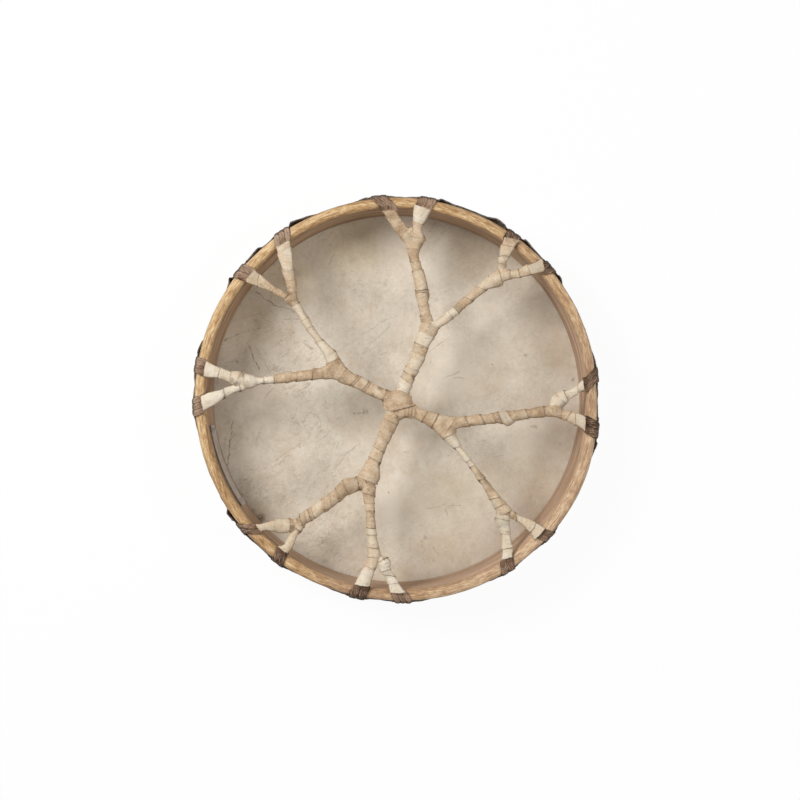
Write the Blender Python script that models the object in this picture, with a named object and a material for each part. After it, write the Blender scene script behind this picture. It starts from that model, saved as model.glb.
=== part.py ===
"""Shaman drum: a rawhide head laced over a bent wood hoop, with a hand-hold web of wrapped laces at the back.

The drum lies on its head. The origin is at the middle of the head's outer face, +Z points out of the open
back, and bearings run counter-clockwise from +X as seen from the back.
"""
import math
from dataclasses import dataclass

import bmesh
import bpy
import numpy as np
from mathutils import Vector

# Fits
CLEARANCE = 0.0003
SEAM = 0.0004  # between the end of one wrap and the start of the next

# Hoop: a lath bent round, with its ends lapped in a scarf
HOOP_RADIUS = 0.200
HOOP_THICKNESS = 0.0105
HOOP_DEPTH = 0.0585
HOOP_BACK_EDGE = 0.0038
HOOP_FRONT_EDGE = 0.0030
SCARF_BEARING = 201.5
SCARF_LAP = 0.030

# Metal strip that bridges the scarf inside the hoop, with a pair of tacks at each end
STRIP_LENGTH = 0.088
STRIP_HEIGHT = 0.036
STRIP_THICKNESS = 0.0010
STRIP_RISE = 0.009  # from the hoop's front edge
TACK_HEAD = 0.0050
TACK_HEIGHT = 0.0012
TACK_INSET = 0.0055
TACK_SPACING = 0.016
TACK_DOME = ((1.0, 0.0), (0.92, 0.45), (0.6, 0.85), (0.2, 1.0))  # shares of its radius and height

# Head: one rawhide, flat across the front and drawn up the hoop's outer wall
HIDE_THICKNESS = 0.0014
TAB_DROP = 0.0130  # from the hoop's back edge down to the hide's edge at a lace
TAB_SHOULDER = 0.0070
TAB_DIP = 0.0120  # how much lower the hide's edge runs between the laces
TAB_SLOPE = 0.0180
SLIT_DROP = 0.0085  # from the hide's edge down to the slit
SLIT_MARGIN = 0.0006
TUCK_TAPER = 0.0100

# Laces: narrow cords in the web that spread into flat straps over the hoop
LACE_WIDTH = 0.0032
LACE_THICKNESS = 0.0016
STRAP_WIDTH = 0.0150
STRAP_NECK = 0.0104
STRAP_THICKNESS = 0.0016
STRAP_TAIL = 0.0100

# Wrapping of the web: strips of rawhide wound so that each turn lies over the one before
WRAP_THICKNESS = 0.0006
WRAP_LAYER_GAP = 0.0006
WRAP_LAP = 0.0030
TRUNK_PITCH = 0.0125
BRANCH_PITCH = 0.0150
LEG_PITCH = 0.0110
LEG_END_HEIGHT = 0.0040  # bore of a leg's wrap at the hoop
WEB_DROP = 0.0030  # from the hoop's back edge down to the middle of the web
LEG_END_GAP = 0.0008
TRUNK_BEND = 0.50  # how far along its chord an arm keeps to the way it set out
BRANCH_BEND = 0.25
LEG_BEND = 0.30
FLARE_FROM = 0.55  # share of a trunk or branch where it starts to open into its fork
LEG_FLARE_FROM = 0.30
LACE_FLAT_FROM = 0.50  # share of a leg by which its lace has turned flat
BRANCH_LACE_FROM = 0.12  # shares of an arm where its lace takes up its lane
LEG_LACE_FROM = 0.15

# Hub: the pad wrapped over the crossing of the four trunks
HUB_X = 0.0022
HUB_Y = -0.0039
HUB_TURN = -22.0
HUB_SOCKET_LONG = 0.0062
HUB_SOCKET_SHORT = 0.0040
HUB_WALL = 0.0020
HUB_ROUNDING = 0.0060
HUB_ROUNDING_LIMIT = 0.90  # of the pad's least half size

# Facets
HOOP_FACETS = 72
SCARF_FACETS = 8  # over which the scarf's slant fades out
STRIP_FACETS = 16
TACK_SIDES = 12
HEAD_STEP = 2.8  # widest angle between two columns of the head
TURN_POINTS = 10
SOCKET_SIDES = 20
HUB_ROUNDING_STEPS = 3
ARM_SAMPLES = 48


@dataclass
class Branch:
    """A branch of the web: where it forks, and where its two legs cross the hoop."""

    bearing: float  # of the fork, seen from the drum's middle
    setback: float  # of the fork, from the hoop's inner wall
    right_leg: tuple  # bearings on the hoop's inner and outer edge
    left_leg: tuple


@dataclass
class Trunk:
    """A trunk of the web, from the hub to its fork."""

    bearing: float  # seen from the hub
    length: float
    right: Branch
    left: Branch


WEB = (
    Trunk(336.0, 0.045,
          Branch(314.0, 0.0389, (304.5, 303.0), (316.6, 318.0)),
          Branch(355.3, 0.0388, (352.3, 351.0), (364.3, 366.8))),
    Trunk(67.5, 0.071,
          Branch(50.8, 0.0366, (42.2, 40.5), (53.6, 54.4)),
          Branch(83.3, 0.0404, (82.0, 81.0), (92.3, 95.0))),
    Trunk(150.8, 0.062,
          Branch(137.0, 0.0537, (126.3, 124.6), (140.0, 140.8)),
          Branch(173.7, 0.0438, (171.2, 170.3), (181.5, 182.4))),
    Trunk(248.3, 0.076,
          Branch(231.8, 0.0417, (223.0, 220.0), (233.2, 234.0)),
          Branch(262.1, 0.0352, (259.2, 258.5), (270.0, 271.5))),
)

# Sizes that follow from the ones above
UP = Vector((0, 0, 1))
HOOP_BOTTOM = HIDE_THICKNESS + CLEARANCE
HOOP_TOP = HOOP_BOTTOM + HOOP_DEPTH
HOOP_INSIDE = HOOP_RADIUS - HOOP_THICKNESS
STRAP_LIFT = CLEARANCE + STRAP_THICKNESS / 2
STRAP_Z = HOOP_TOP + STRAP_LIFT
HIDE_INSIDE = HOOP_RADIUS + CLEARANCE
HIDE_OUTSIDE = HIDE_INSIDE + HIDE_THICKNESS
TUCK_BULGE = STRAP_THICKNESS + 2 * CLEARANCE  # the hide stands off the hoop where a lace is tucked behind it
TUCKED_R = HOOP_RADIUS + STRAP_LIFT
OUTER_R = HIDE_OUTSIDE + TUCK_BULGE + STRAP_LIFT
TAB_TOP = HOOP_TOP - TAB_DROP
SLIT_Z = TAB_TOP - SLIT_DROP
SLIT_RUN = (OUTER_R - TUCKED_R) / 2  # the strap goes through the slit at 45 degrees
TAIL_Z = SLIT_Z - SLIT_RUN - STRAP_TAIL
WEB_Z = HOOP_TOP - WEB_DROP
HUB = Vector((HUB_X, HUB_Y, WEB_Z))
LANE = LACE_THICKNESS + CLEARANCE  # laces run on edge, side by side, this far apart
FACET = math.cos(math.pi / TURN_POINTS)  # a bore's flats lie this much nearer than its corners


def build_up(pitch):
    """The height that a lapped strip of this pitch adds over its bore."""
    return wrap_rise(pitch) + WRAP_THICKNESS


def wrap_rise(pitch):
    return (pitch + WRAP_LAP) * (WRAP_THICKNESS + WRAP_LAYER_GAP) / pitch


def bore_around(half_width, half_height, b):
    """Half the width of an oval bore of half height b that clears a rectangle inside it."""
    return (half_width + CLEARANCE) / math.sqrt(1 - ((half_height + CLEARANCE) / b) ** 2)


LEG_BORE = math.hypot(LACE_WIDTH, LACE_THICKNESS) / 2 + CLEARANCE
BRANCH_BORE = math.hypot(LACE_WIDTH / 2, LANE / 2 + LACE_THICKNESS / 2) + CLEARANCE
TRUNK_BORE_HEIGHT = LACE_WIDTH
TRUNK_BORE = bore_around(LANE * 3 / 2 + LACE_THICKNESS / 2, LACE_WIDTH / 2, TRUNK_BORE_HEIGHT)
LEG_RADIUS = LEG_BORE / FACET + build_up(LEG_PITCH)
BRANCH_RADIUS = BRANCH_BORE / FACET + build_up(BRANCH_PITCH)
TRUNK_HALF_WIDTH = TRUNK_BORE / FACET + build_up(TRUNK_PITCH)
TRUNK_HALF_HEIGHT = TRUNK_BORE_HEIGHT / FACET + build_up(TRUNK_PITCH)
LEG_OFFSET = LEG_RADIUS + SEAM / 2
BRANCH_OFFSET = BRANCH_RADIUS + SEAM / 2
LEG_MOUTH = bore_around(STRAP_NECK / 2, STRAP_THICKNESS / 2, LEG_END_HEIGHT / 2)
BRANCH_MOUTH = bore_around(LEG_OFFSET + LACE_THICKNESS / 2, LACE_WIDTH / 2, BRANCH_BORE)
TRUNK_MOUTH = bore_around(BRANCH_OFFSET + LANE / 2 + LACE_THICKNESS / 2, LACE_WIDTH / 2, TRUNK_BORE_HEIGHT)


def heading(bearing):
    """The level direction of a bearing in degrees."""
    a = math.radians(bearing)
    return Vector((math.cos(a), math.sin(a), 0))


def left_of(direction):
    return UP.cross(direction).normalized()


def polar(radius, bearing, z):
    return heading(bearing) * radius + UP * z


def mix(a, b, t):
    return a + (b - a) * t


def flare(u):
    """How far the end of an arm has opened into its fork, from 0 to 1."""
    return max(0.0, (u - FLARE_FROM) / (1 - FLARE_FROM)) ** 2


def material(name, colour, roughness, metallic=0.0):
    m = bpy.data.materials.new(name)
    m.use_nodes = True
    shader = m.node_tree.nodes["Principled BSDF"]
    shader.inputs["Base Color"].default_value = (*colour, 1)
    shader.inputs["Roughness"].default_value = roughness
    shader.inputs["Metallic"].default_value = metallic
    m.diffuse_color = (*colour, 1)
    return m


def add_object(name, mesh, finish, smooth=40):
    mesh.materials.append(finish)
    mesh.shade_smooth()
    mesh.set_sharp_from_angle(angle=math.radians(smooth))
    o = bpy.data.objects.new(name, mesh)
    bpy.context.scene.collection.objects.link(o)
    return o


def solid(name, points, faces, finish):
    """A closed mesh with its faces turned outwards."""
    mesh = bpy.data.meshes.new(name)
    mesh.from_pydata([tuple(p) for p in points], [], faces)
    bm = bmesh.new()
    bm.from_mesh(mesh)
    bmesh.ops.recalc_face_normals(bm, faces=bm.faces)
    bm.to_mesh(mesh)
    bm.free()
    return add_object(name, mesh, finish)


def loft(name, rings, finish, closed=False):
    """A solid through rings of points: capped at both ends, or closed into a loop."""
    n = len(rings[0])
    points = [p for ring in rings for p in ring]
    faces = []
    for i in range(len(rings) if closed else len(rings) - 1):
        a, b = i * n, (i + 1) % len(rings) * n
        faces += [(a + j, a + (j + 1) % n, b + (j + 1) % n, b + j) for j in range(n)]
    if not closed:
        faces += [tuple(range(n)), tuple(range(len(points) - n, len(points)))]
    return solid(name, points, faces, finish)


def cut(o, cutter):
    """Takes the cutter's shape out of o."""
    cutter.hide_render = True
    cutter.display_type = "WIRE"
    m = o.modifiers.new(cutter.name, "BOOLEAN")
    m.operation = "DIFFERENCE"
    m.solver = "EXACT"
    m.object = cutter


def arc(r, z, radius, start, end, steps):
    """Points (r, z) along part of a circle, with angles in degrees."""
    angles = [math.radians(mix(start, end, i / steps)) for i in range(steps + 1)]
    return [(r + radius * math.cos(a), z + radius * math.sin(a)) for a in angles]


class Arm:
    """The middle line of one arm of the web, with places on it by distance."""

    def __init__(self, start, direction, end, bend, rim_bearing=None):
        self.rim_bearing = rim_bearing
        control = start + direction * (end - start).length * bend
        u = np.linspace(0, 1, ARM_SAMPLES)[:, None]
        line = (1 - u) ** 2 * np.array(start) + 2 * u * (1 - u) * np.array(control) + u ** 2 * np.array(end)
        ease = (u * u * (3 - 2 * u))[:, 0]
        line[:, 2] = mix(start.z, end.z, ease)
        self.line = line
        self.along = np.concatenate([[0], np.cumsum(np.linalg.norm(np.diff(line, axis=0), axis=1))])
        self.length = float(self.along[-1])
        flat = end - control
        self.end_direction = Vector((flat.x, flat.y, 0)).normalized()
        self.end = end

    def at(self, s):
        """(point, direction to the left) at a distance from the start."""
        place = [float(np.interp(s, self.along, self.line[:, k])) for k in range(3)]
        step = self.length / ARM_SAMPLES
        ahead = [float(np.interp(s + step, self.along, self.line[:, k])) for k in range(2)]
        behind = [float(np.interp(s - step, self.along, self.line[:, k])) for k in range(2)]
        direction = Vector((ahead[0] - behind[0], ahead[1] - behind[1], 0)).normalized()
        left = left_of(direction)
        if self.rim_bearing is not None:
            # a leg's end lies square to the hoop, whatever way the leg comes in
            left = mix(left, left_of(heading(self.rim_bearing)), max(0.0, s / self.length) ** 2).normalized()
        return Vector(place), left


def wrap(name, arm, bore, pitch, finish):
    """A rawhide strip wound along an arm; bore(u) gives half its width and height inside."""
    width = pitch + WRAP_LAP
    steps = max(TURN_POINTS, round((arm.length - width) / pitch * TURN_POINTS))
    rise = wrap_rise(pitch)

    def edge(s, turn, height):
        middle, left = arm.at(s)
        a, b = bore(s / arm.length)
        a, b = a / FACET + height, b / FACET + height
        return middle + left * a * math.cos(turn) + UP * b * math.sin(turn)

    rings = []
    for i in range(steps + 1):
        s = (arm.length - width) * i / steps
        turn = 2 * math.pi * i / TURN_POINTS
        rings.append([
            edge(s, turn, 0),
            edge(s + width, turn, rise),
            edge(s + width, turn, rise + WRAP_THICKNESS),
            edge(s, turn, WRAP_THICKNESS),
        ])
    print(f"{name}: {steps / TURN_POINTS:.1f} turns, least gap to itself {least_gap(rings) * 1000:.2f} mm")
    return loft(name, rings, finish)


def least_gap(rings, across=9):
    """The least distance between the faces of a strip's neighbouring turns, measured on points."""
    r = np.array(rings)
    t = np.linspace(0, 1, across)[None, :, None]
    inner = mix(r[:, None, 0], r[:, None, 1], t)
    outer = mix(r[:, None, 3], r[:, None, 2], t)
    best = math.inf
    for shift in (TURN_POINTS - 1, TURN_POINTS, TURN_POINTS + 1):
        if shift < len(r):
            apart = inner[:-shift, :, None] - outer[shift:, None, :]
            best = min(best, float(np.linalg.norm(apart, axis=-1).min()))
    return best


def section(middle, across, through, width, thickness):
    """The four corners of a lace's cross section."""
    w, t = across * width / 2, through * thickness / 2
    return [middle - w - t, middle + w - t, middle + w + t, middle - w + t]


def lace_in_trunk(trunk, side, level):
    """Four laces share a trunk, and part two and two at its fork."""
    rings = []
    for u in (0, FLARE_FROM, mix(FLARE_FROM, 1, 0.5), 1):
        middle, left = trunk.at(u * trunk.length)
        offset = side * mix(LANE, BRANCH_OFFSET, flare(u)) + level * LANE / 2
        rings.append(section(middle + left * offset, -UP, left, LACE_WIDTH, LACE_THICKNESS))
    return rings


def lace_in_branch(branch, level):
    """Two laces share a branch, and part at its fork."""
    rings = []
    lane = [mix(BRANCH_LACE_FROM, FLARE_FROM, k / 3) for k in range(4)]
    for u in (*lane, mix(FLARE_FROM, 1, 0.5), 1):
        middle, left = branch.at(u * branch.length)
        offset = level * mix(LANE / 2, LEG_OFFSET, flare(u))
        rings.append(section(middle + left * offset, -UP, left, LACE_WIDTH, LACE_THICKNESS))
    return rings


def lace_in_leg(leg):
    """A lace turns flat along its leg, then widens towards the hoop."""
    rings = []
    lying = LACE_FLAT_FROM
    for u in (LEG_LACE_FROM, mix(LEG_LACE_FROM, lying, 0.5), lying, mix(lying, 1, 0.5), 1):
        middle, left = leg.at(u * leg.length)
        turn = math.pi / 2 * min(1, u / lying)
        through = left * math.cos(turn) + UP * math.sin(turn)
        across = left * math.sin(turn) - UP * math.cos(turn)
        spread = max(0, u - lying) / (1 - lying)
        width = mix(LACE_WIDTH, STRAP_NECK, spread)
        rings.append(section(middle, across, through, width, mix(LACE_THICKNESS, STRAP_THICKNESS, spread)))
    return rings


def strap_over_hoop(inner_bearing, outer_bearing):
    """The flat strap: over the hoop's back edge, down outside the hide, in at the slit and down behind it."""
    edge_r, edge_z = HOOP_RADIUS - HOOP_BACK_EDGE, HOOP_TOP - HOOP_BACK_EDGE
    path = [(HOOP_INSIDE - LEG_END_GAP, STRAP_Z), (HOOP_INSIDE + HOOP_BACK_EDGE, STRAP_Z)]
    path += arc(edge_r, edge_z, HOOP_BACK_EDGE + STRAP_LIFT, 90, 0, 3)
    path += [
        (OUTER_R, TAB_TOP + STRAP_THICKNESS),
        (OUTER_R, SLIT_Z + SLIT_RUN),
        (TUCKED_R, SLIT_Z - SLIT_RUN),
        (TUCKED_R, TAIL_Z),
    ]
    rings = []
    for i in range(1, len(path)):
        r, z = path[i]
        into = Vector((r - path[i - 1][0], z - path[i - 1][1])).normalized()
        last = i == len(path) - 1
        out = into if last else Vector((path[i + 1][0] - r, path[i + 1][1] - z)).normalized()
        along = (into + out).normalized()
        mitre = 1 / along.dot(into)
        bearing = mix(inner_bearing, outer_bearing, min(1, (r - HOOP_INSIDE) / HOOP_THICKNESS))
        through = heading(bearing) * -along.y + UP * along.x
        across = left_of(heading(bearing))
        rings.append(section(polar(r, bearing, z), across, through, STRAP_WIDTH, STRAP_THICKNESS * mitre))
    return rings


def make_hoop(finish):
    """The bent lath: one turn of its rounded section, from one slanting end to the other."""
    b, f = HOOP_BACK_EDGE, HOOP_FRONT_EDGE
    profile = arc(HOOP_RADIUS - f, HOOP_BOTTOM + f, f, -90, 0, 2)
    profile += arc(HOOP_RADIUS - b, HOOP_TOP - b, b, 0, 90, 3)
    profile += arc(HOOP_INSIDE + b, HOOP_TOP - b, b, 90, 180, 3)
    profile += arc(HOOP_INSIDE + f, HOOP_BOTTOM + f, f, 180, 270, 1)
    lap = math.degrees(SCARF_LAP / HOOP_RADIUS)
    open_by = math.degrees(CLEARANCE / HOOP_INSIDE) * SCARF_LAP / HOOP_THICKNESS
    rings = []
    for i in range(HOOP_FACETS + 1):
        skew = max(0, 1 - i / SCARF_FACETS, 1 - (HOOP_FACETS - i) / SCARF_FACETS)
        ring = []
        for r, z in profile:
            depth = (r - HOOP_INSIDE) / HOOP_THICKNESS - 0.5
            bearing = SCARF_BEARING + lap * depth * skew + (360 - open_by) * i / HOOP_FACETS
            ring.append(polar(r, bearing, z))
        rings.append(ring)
    return loft("hoop", rings, finish)


def make_joint_strip(finish):
    """The metal strip, bent to the hoop's inner wall."""
    outside = HOOP_INSIDE * math.cos(math.pi / HOOP_FACETS) - CLEARANCE
    inside = outside - STRIP_THICKNESS
    low = HOOP_BOTTOM + STRIP_RISE
    high = low + STRIP_HEIGHT
    span = math.degrees(STRIP_LENGTH / outside)
    rings = []
    for i in range(STRIP_FACETS + 1):
        bearing = SCARF_BEARING + span * (i / STRIP_FACETS - 0.5)
        corners = ((inside, low), (outside, low), (outside, high), (inside, high))
        rings.append([polar(r, bearing, z) for r, z in corners])
    return loft("joint_strip", rings, finish)


def make_tacks(finish):
    """Four domed tack heads on the strip, a pair at each end."""
    face = HOOP_INSIDE * math.cos(math.pi / HOOP_FACETS) - 2 * CLEARANCE - STRIP_THICKNESS
    turn = math.degrees((STRIP_LENGTH / 2 - TACK_INSET) / face)
    middle = HOOP_BOTTOM + STRIP_RISE + STRIP_HEIGHT / 2
    number = 0
    for end in (-1, 1):
        for row in (-1, 1):
            number += 1
            bearing = SCARF_BEARING + end * turn
            out, across = -heading(bearing), left_of(heading(bearing))
            base = polar(face, bearing, middle + row * TACK_SPACING / 2)
            rings = []
            for share, lift in TACK_DOME:
                ring = []
                for k in range(TACK_SIDES):
                    a = 2 * math.pi * k / TACK_SIDES
                    spoke = across * math.cos(a) + UP * math.sin(a)
                    ring.append(base + spoke * TACK_HEAD / 2 * share + out * TACK_HEIGHT * lift)
                rings.append(ring)
            loft(f"tack_{number}", rings, finish)


def leg_bearings():
    """The bearings where the laces run down the hoop's outer wall, in order."""
    found = []
    for trunk in WEB:
        for branch in (trunk.right, trunk.left):
            found += [branch.right_leg[1] % 360, branch.left_leg[1] % 360]
    return sorted(found)


def head_columns():
    """Bearings of the head's columns, closer together at the laces."""
    per_degree = math.radians(1) * HOOP_RADIUS
    flat = (STRAP_WIDTH / 2 + SLIT_MARGIN + CLEARANCE) / per_degree
    shoulder = flat + TAB_SHOULDER / per_degree
    legs = leg_bearings()
    columns = []
    for i, leg in enumerate(legs):
        columns += [leg + d for d in (-shoulder, -flat, 0, flat, shoulder)]
        free = legs[(i + 1) % len(legs)] + (360 if i == len(legs) - 1 else 0) - shoulder - (leg + shoulder)
        fill = math.ceil(free / HEAD_STEP)
        columns += [leg + shoulder + free * k / fill for k in range(1, fill)]
    return columns, flat, shoulder


def make_head(finish):
    """The hide: a flat face, a fold round the hoop's front edge and a skirt with a scalloped edge."""
    columns, flat, shoulder = head_columns()
    legs = leg_bearings()
    per_degree = math.radians(1) * HOOP_RADIUS
    fold_in = HOOP_FRONT_EDGE + CLEARANCE
    fold_out = fold_in + HIDE_THICKNESS
    tuck_z = TAIL_Z - SLIT_MARGIN
    rings = []
    for bearing in columns:
        away = min(abs((bearing - leg + 180) % 360 - 180) for leg in legs)
        bulge = TUCK_BULGE * min(1, max(0, (shoulder - away) / (shoulder - flat)))
        dip = min(1, max(0, away - shoulder) * per_degree / TAB_SLOPE)
        edge_z = TAB_TOP - TAB_DIP * dip * dip * (3 - 2 * dip)
        profile = arc(HIDE_OUTSIDE - fold_out, fold_out, fold_out, -90, 0, 2)
        profile += [(HIDE_OUTSIDE, tuck_z - TUCK_TAPER), (HIDE_OUTSIDE + bulge, tuck_z)]
        profile += [(HIDE_OUTSIDE + bulge, edge_z), (HIDE_INSIDE + bulge, edge_z)]
        profile += [(HIDE_INSIDE + bulge, tuck_z), (HIDE_INSIDE, tuck_z - TUCK_TAPER)]
        profile += arc(HIDE_INSIDE - fold_in, fold_out, fold_in, 0, -90, 2)
        rings.append([polar(r, bearing, z) for r, z in profile])
    n = len(rings[0])
    points = [p for ring in rings for p in ring]
    faces = []
    for i in range(len(rings)):
        a, b = i * n, (i + 1) % len(rings) * n
        faces += [(a + j, a + j + 1, b + j + 1, b + j) for j in range(n - 1)]
    faces.append(tuple(i * n for i in range(len(rings))))
    faces.append(tuple(i * n + n - 1 for i in range(len(rings))))
    head = solid("drumhead", points, faces, finish)
    for i, leg in enumerate(legs):
        cut(head, make_slit(f"slit_{i + 1:02d}", leg, finish))
    return head


def make_slit(name, bearing, finish):
    """The cutter for one slit in the hide, as wide as the strap that goes through it."""
    middle = polar(HIDE_INSIDE + TUCK_BULGE + HIDE_THICKNESS / 2, bearing, SLIT_Z)
    across, out = left_of(heading(bearing)), heading(bearing)
    half_width = STRAP_WIDTH / 2 + CLEARANCE
    half_height = HIDE_THICKNESS / 2 + STRAP_THICKNESS * math.sqrt(0.5) + SLIT_MARGIN
    depth = TUCK_BULGE
    rings = []
    for r in (-depth, depth):
        corners = ((-1, -1), (1, -1), (1, 1), (-1, 1))
        rings.append([middle + out * r + across * half_width * x + UP * half_height * z for x, z in corners])
    return loft(name, rings, finish)


def hub_clear():
    """How far from the hub's middle the trunks' wraps start, so that neighbours clear each other."""
    bearings = sorted(trunk.bearing for trunk in WEB)
    apart = [(b - a) % 360 for a, b in zip(bearings, bearings[1:] + bearings[:1])]
    return TRUNK_HALF_WIDTH / math.tan(math.radians(min(apart) / 2)) + CLEARANCE


def make_hub(finish):
    """The pad at the crossing, with a socket for the end of each trunk."""
    reach = hub_clear()
    height = TRUNK_HALF_HEIGHT + CLEARANCE + HUB_WALL
    size = Vector((reach + HUB_SOCKET_LONG, reach + HUB_SOCKET_SHORT, height))
    bm = bmesh.new()
    bmesh.ops.create_cube(bm, size=2)
    bmesh.ops.scale(bm, vec=size, verts=bm.verts)
    rounding = min(HUB_ROUNDING, HUB_ROUNDING_LIMIT * min(size))
    steps = HUB_ROUNDING_STEPS
    bmesh.ops.bevel(bm, geom=bm.edges[:], offset=rounding, segments=steps, profile=0.5, affect="EDGES")
    mesh = bpy.data.meshes.new("hub_wrap")
    bm.to_mesh(mesh)
    bm.free()
    hub = add_object("hub_wrap", mesh, finish)
    hub.location = HUB
    hub.rotation_euler.z = math.radians(HUB_TURN)
    facet = math.cos(math.pi / SOCKET_SIDES)
    wide = (TRUNK_HALF_WIDTH + CLEARANCE) / facet
    high = (TRUNK_HALF_HEIGHT + CLEARANCE) / facet
    for i, trunk in enumerate(WEB):
        out = heading(trunk.bearing)
        rings = []
        for distance in (reach - CLEARANCE, reach + 2 * size.x):
            ring = []
            for k in range(SOCKET_SIDES):
                a = 2 * math.pi * k / SOCKET_SIDES
                spoke = left_of(out) * wide * math.cos(a) + UP * high * math.sin(a)
                ring.append(HUB + out * distance + spoke)
            rings.append(ring)
        cut(hub, loft(f"socket_{i + 1}", rings, finish))
    return hub


def trunk_bore(u):
    return mix(TRUNK_BORE, TRUNK_MOUTH, flare(u)), TRUNK_BORE_HEIGHT


def branch_bore(u):
    return mix(BRANCH_BORE, BRANCH_MOUTH, flare(u)), BRANCH_BORE


def leg_bore(u):
    opened = max(0, (u - LEG_FLARE_FROM) / (1 - LEG_FLARE_FROM)) ** 2
    return mix(LEG_BORE, LEG_MOUTH, opened), mix(LEG_BORE, LEG_END_HEIGHT / 2, u)


def make_web(finishes):
    """The four trunks with their branches and legs, each wrapped, and the laces that run through them."""
    branch_number = leg_number = 0
    for number, t in enumerate(WEB):
        out = heading(t.bearing)
        trunk = Arm(HUB + out * hub_clear(), out, HUB + out * t.length, TRUNK_BEND)
        wrap(f"trunk_wrap_{number + 1}", trunk, trunk_bore, TRUNK_PITCH, finishes["trunk"])
        for side, b in ((-1, t.right), (1, t.left)):
            branch_number += 1
            start = trunk.end + out * SEAM + left_of(out) * BRANCH_OFFSET * side
            fork = polar(HOOP_INSIDE - b.setback, b.bearing, WEB_Z)
            branch = Arm(start, out, fork, BRANCH_BEND)
            wrap(f"branch_wrap_{branch_number}", branch, branch_bore, BRANCH_PITCH, finishes["branch"])
            for level, (inner, outer) in ((-1, b.right_leg), (1, b.left_leg)):
                leg_number += 1
                ahead = branch.end_direction
                start = branch.end + ahead * SEAM + left_of(ahead) * LEG_OFFSET * level
                leg = Arm(start, ahead, polar(HOOP_INSIDE - LEG_END_GAP, inner, STRAP_Z), LEG_BEND, inner)
                wrap(f"leg_wrap_{leg_number:02d}", leg, leg_bore, LEG_PITCH, finishes["leg"])
                rings = lace_in_trunk(trunk, side, level) + lace_in_branch(branch, level)
                rings += lace_in_leg(leg) + strap_over_hoop(inner, outer)
                loft(f"lace_{leg_number:02d}", rings, finishes["lace"])


def main():
    for o in list(bpy.data.objects):
        bpy.data.objects.remove(o)
    make_hoop(material("bent_wood", (0.60, 0.38, 0.17), 0.55))
    metal = material("grey_metal", (0.42, 0.40, 0.38), 0.45, 0.8)
    make_joint_strip(metal)
    make_tacks(material("tack_metal", (0.55, 0.53, 0.50), 0.35, 1.0))
    make_head(material("drumhead_rawhide", (0.53, 0.45, 0.35), 0.6))
    pale = material("pale_rawhide", (0.76, 0.68, 0.55), 0.65)
    tan = material("tan_rawhide", (0.67, 0.53, 0.36), 0.6)
    make_web({
        "trunk": tan,
        "branch": material("branch_rawhide", (0.68, 0.56, 0.41), 0.62),
        "leg": pale,
        "lace": material("lace_rawhide", (0.20, 0.13, 0.09), 0.6),
    })
    make_hub(material("hub_rawhide", (0.65, 0.47, 0.30), 0.55))


main()
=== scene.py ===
"""The drum's looks: hide, wood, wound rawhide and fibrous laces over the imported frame, seen from the open back."""
import math

import bpy
import numpy as np
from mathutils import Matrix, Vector, noise
from mathutils.bvhtree import BVHTree


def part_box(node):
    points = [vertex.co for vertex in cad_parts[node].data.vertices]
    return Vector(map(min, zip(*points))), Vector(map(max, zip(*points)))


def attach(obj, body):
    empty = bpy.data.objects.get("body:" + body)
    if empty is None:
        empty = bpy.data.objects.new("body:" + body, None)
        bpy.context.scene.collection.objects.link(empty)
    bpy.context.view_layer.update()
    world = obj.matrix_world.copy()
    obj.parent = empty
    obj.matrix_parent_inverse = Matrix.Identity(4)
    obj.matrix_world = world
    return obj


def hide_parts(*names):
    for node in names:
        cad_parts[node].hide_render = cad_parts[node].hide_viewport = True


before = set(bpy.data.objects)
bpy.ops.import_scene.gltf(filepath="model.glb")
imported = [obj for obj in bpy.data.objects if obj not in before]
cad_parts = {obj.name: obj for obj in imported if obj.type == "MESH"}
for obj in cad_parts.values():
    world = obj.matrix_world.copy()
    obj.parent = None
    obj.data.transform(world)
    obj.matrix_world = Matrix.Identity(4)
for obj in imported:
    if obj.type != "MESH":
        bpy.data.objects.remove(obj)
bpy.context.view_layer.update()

# The hoop, in metres, with the bearings of its scarf and of its palest stretch in degrees
HOOP_RADIUS = 0.2000
HOOP_INSIDE = 0.1895
HOOP_BOTTOM = 0.0017
HOOP_TOP = 0.0602
BACK_EDGE = 0.0038
FRONT_EDGE = 0.0030
SCARF_BEARING = 201.5
SCARF_LAP = 0.030
SCARF_GAP = 0.05  # in degrees
SCARF_RUN = 40 / 360  # the share of the hoop along which its section leans into the scarf
PALE_BEARING = 325
HOOP_STEPS = 480

# The hide, in metres: its fold round the hoop's front edge, its skirt's edge and slits, and where it covers a lace
HIDE = 0.0014
HIDE_OUTSIDE = 0.2017
HIDE_FOLD = 0.0047
TAB_TOP = 0.0472
SKIRT_DIP = 0.012
SLIT_Z = 0.0387
SLIT_HALF_HEIGHT = 0.0026
TUCK_BULGE = 0.0014

# The laces, in metres: over the hoop, down outside the hide, and tucked behind it
STRAP = 0.0012
STRAP_Z = 0.0613
STRAP_WIDTH = 0.0150
STRAP_FLAT_R = 0.1935
STRAP_DROP_Z = 0.0510
STRAP_UPRIGHT_Z = 0.0480
OUTER_R = 0.2039
TUCKED_R = 0.20085
TAIL_Z = 0.0268
STRAND_STEPS = 72
STRAND_ACROSS = 8
OPEN_FACE = 164  # a face in the open, which tells which way round a strand lies

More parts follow.
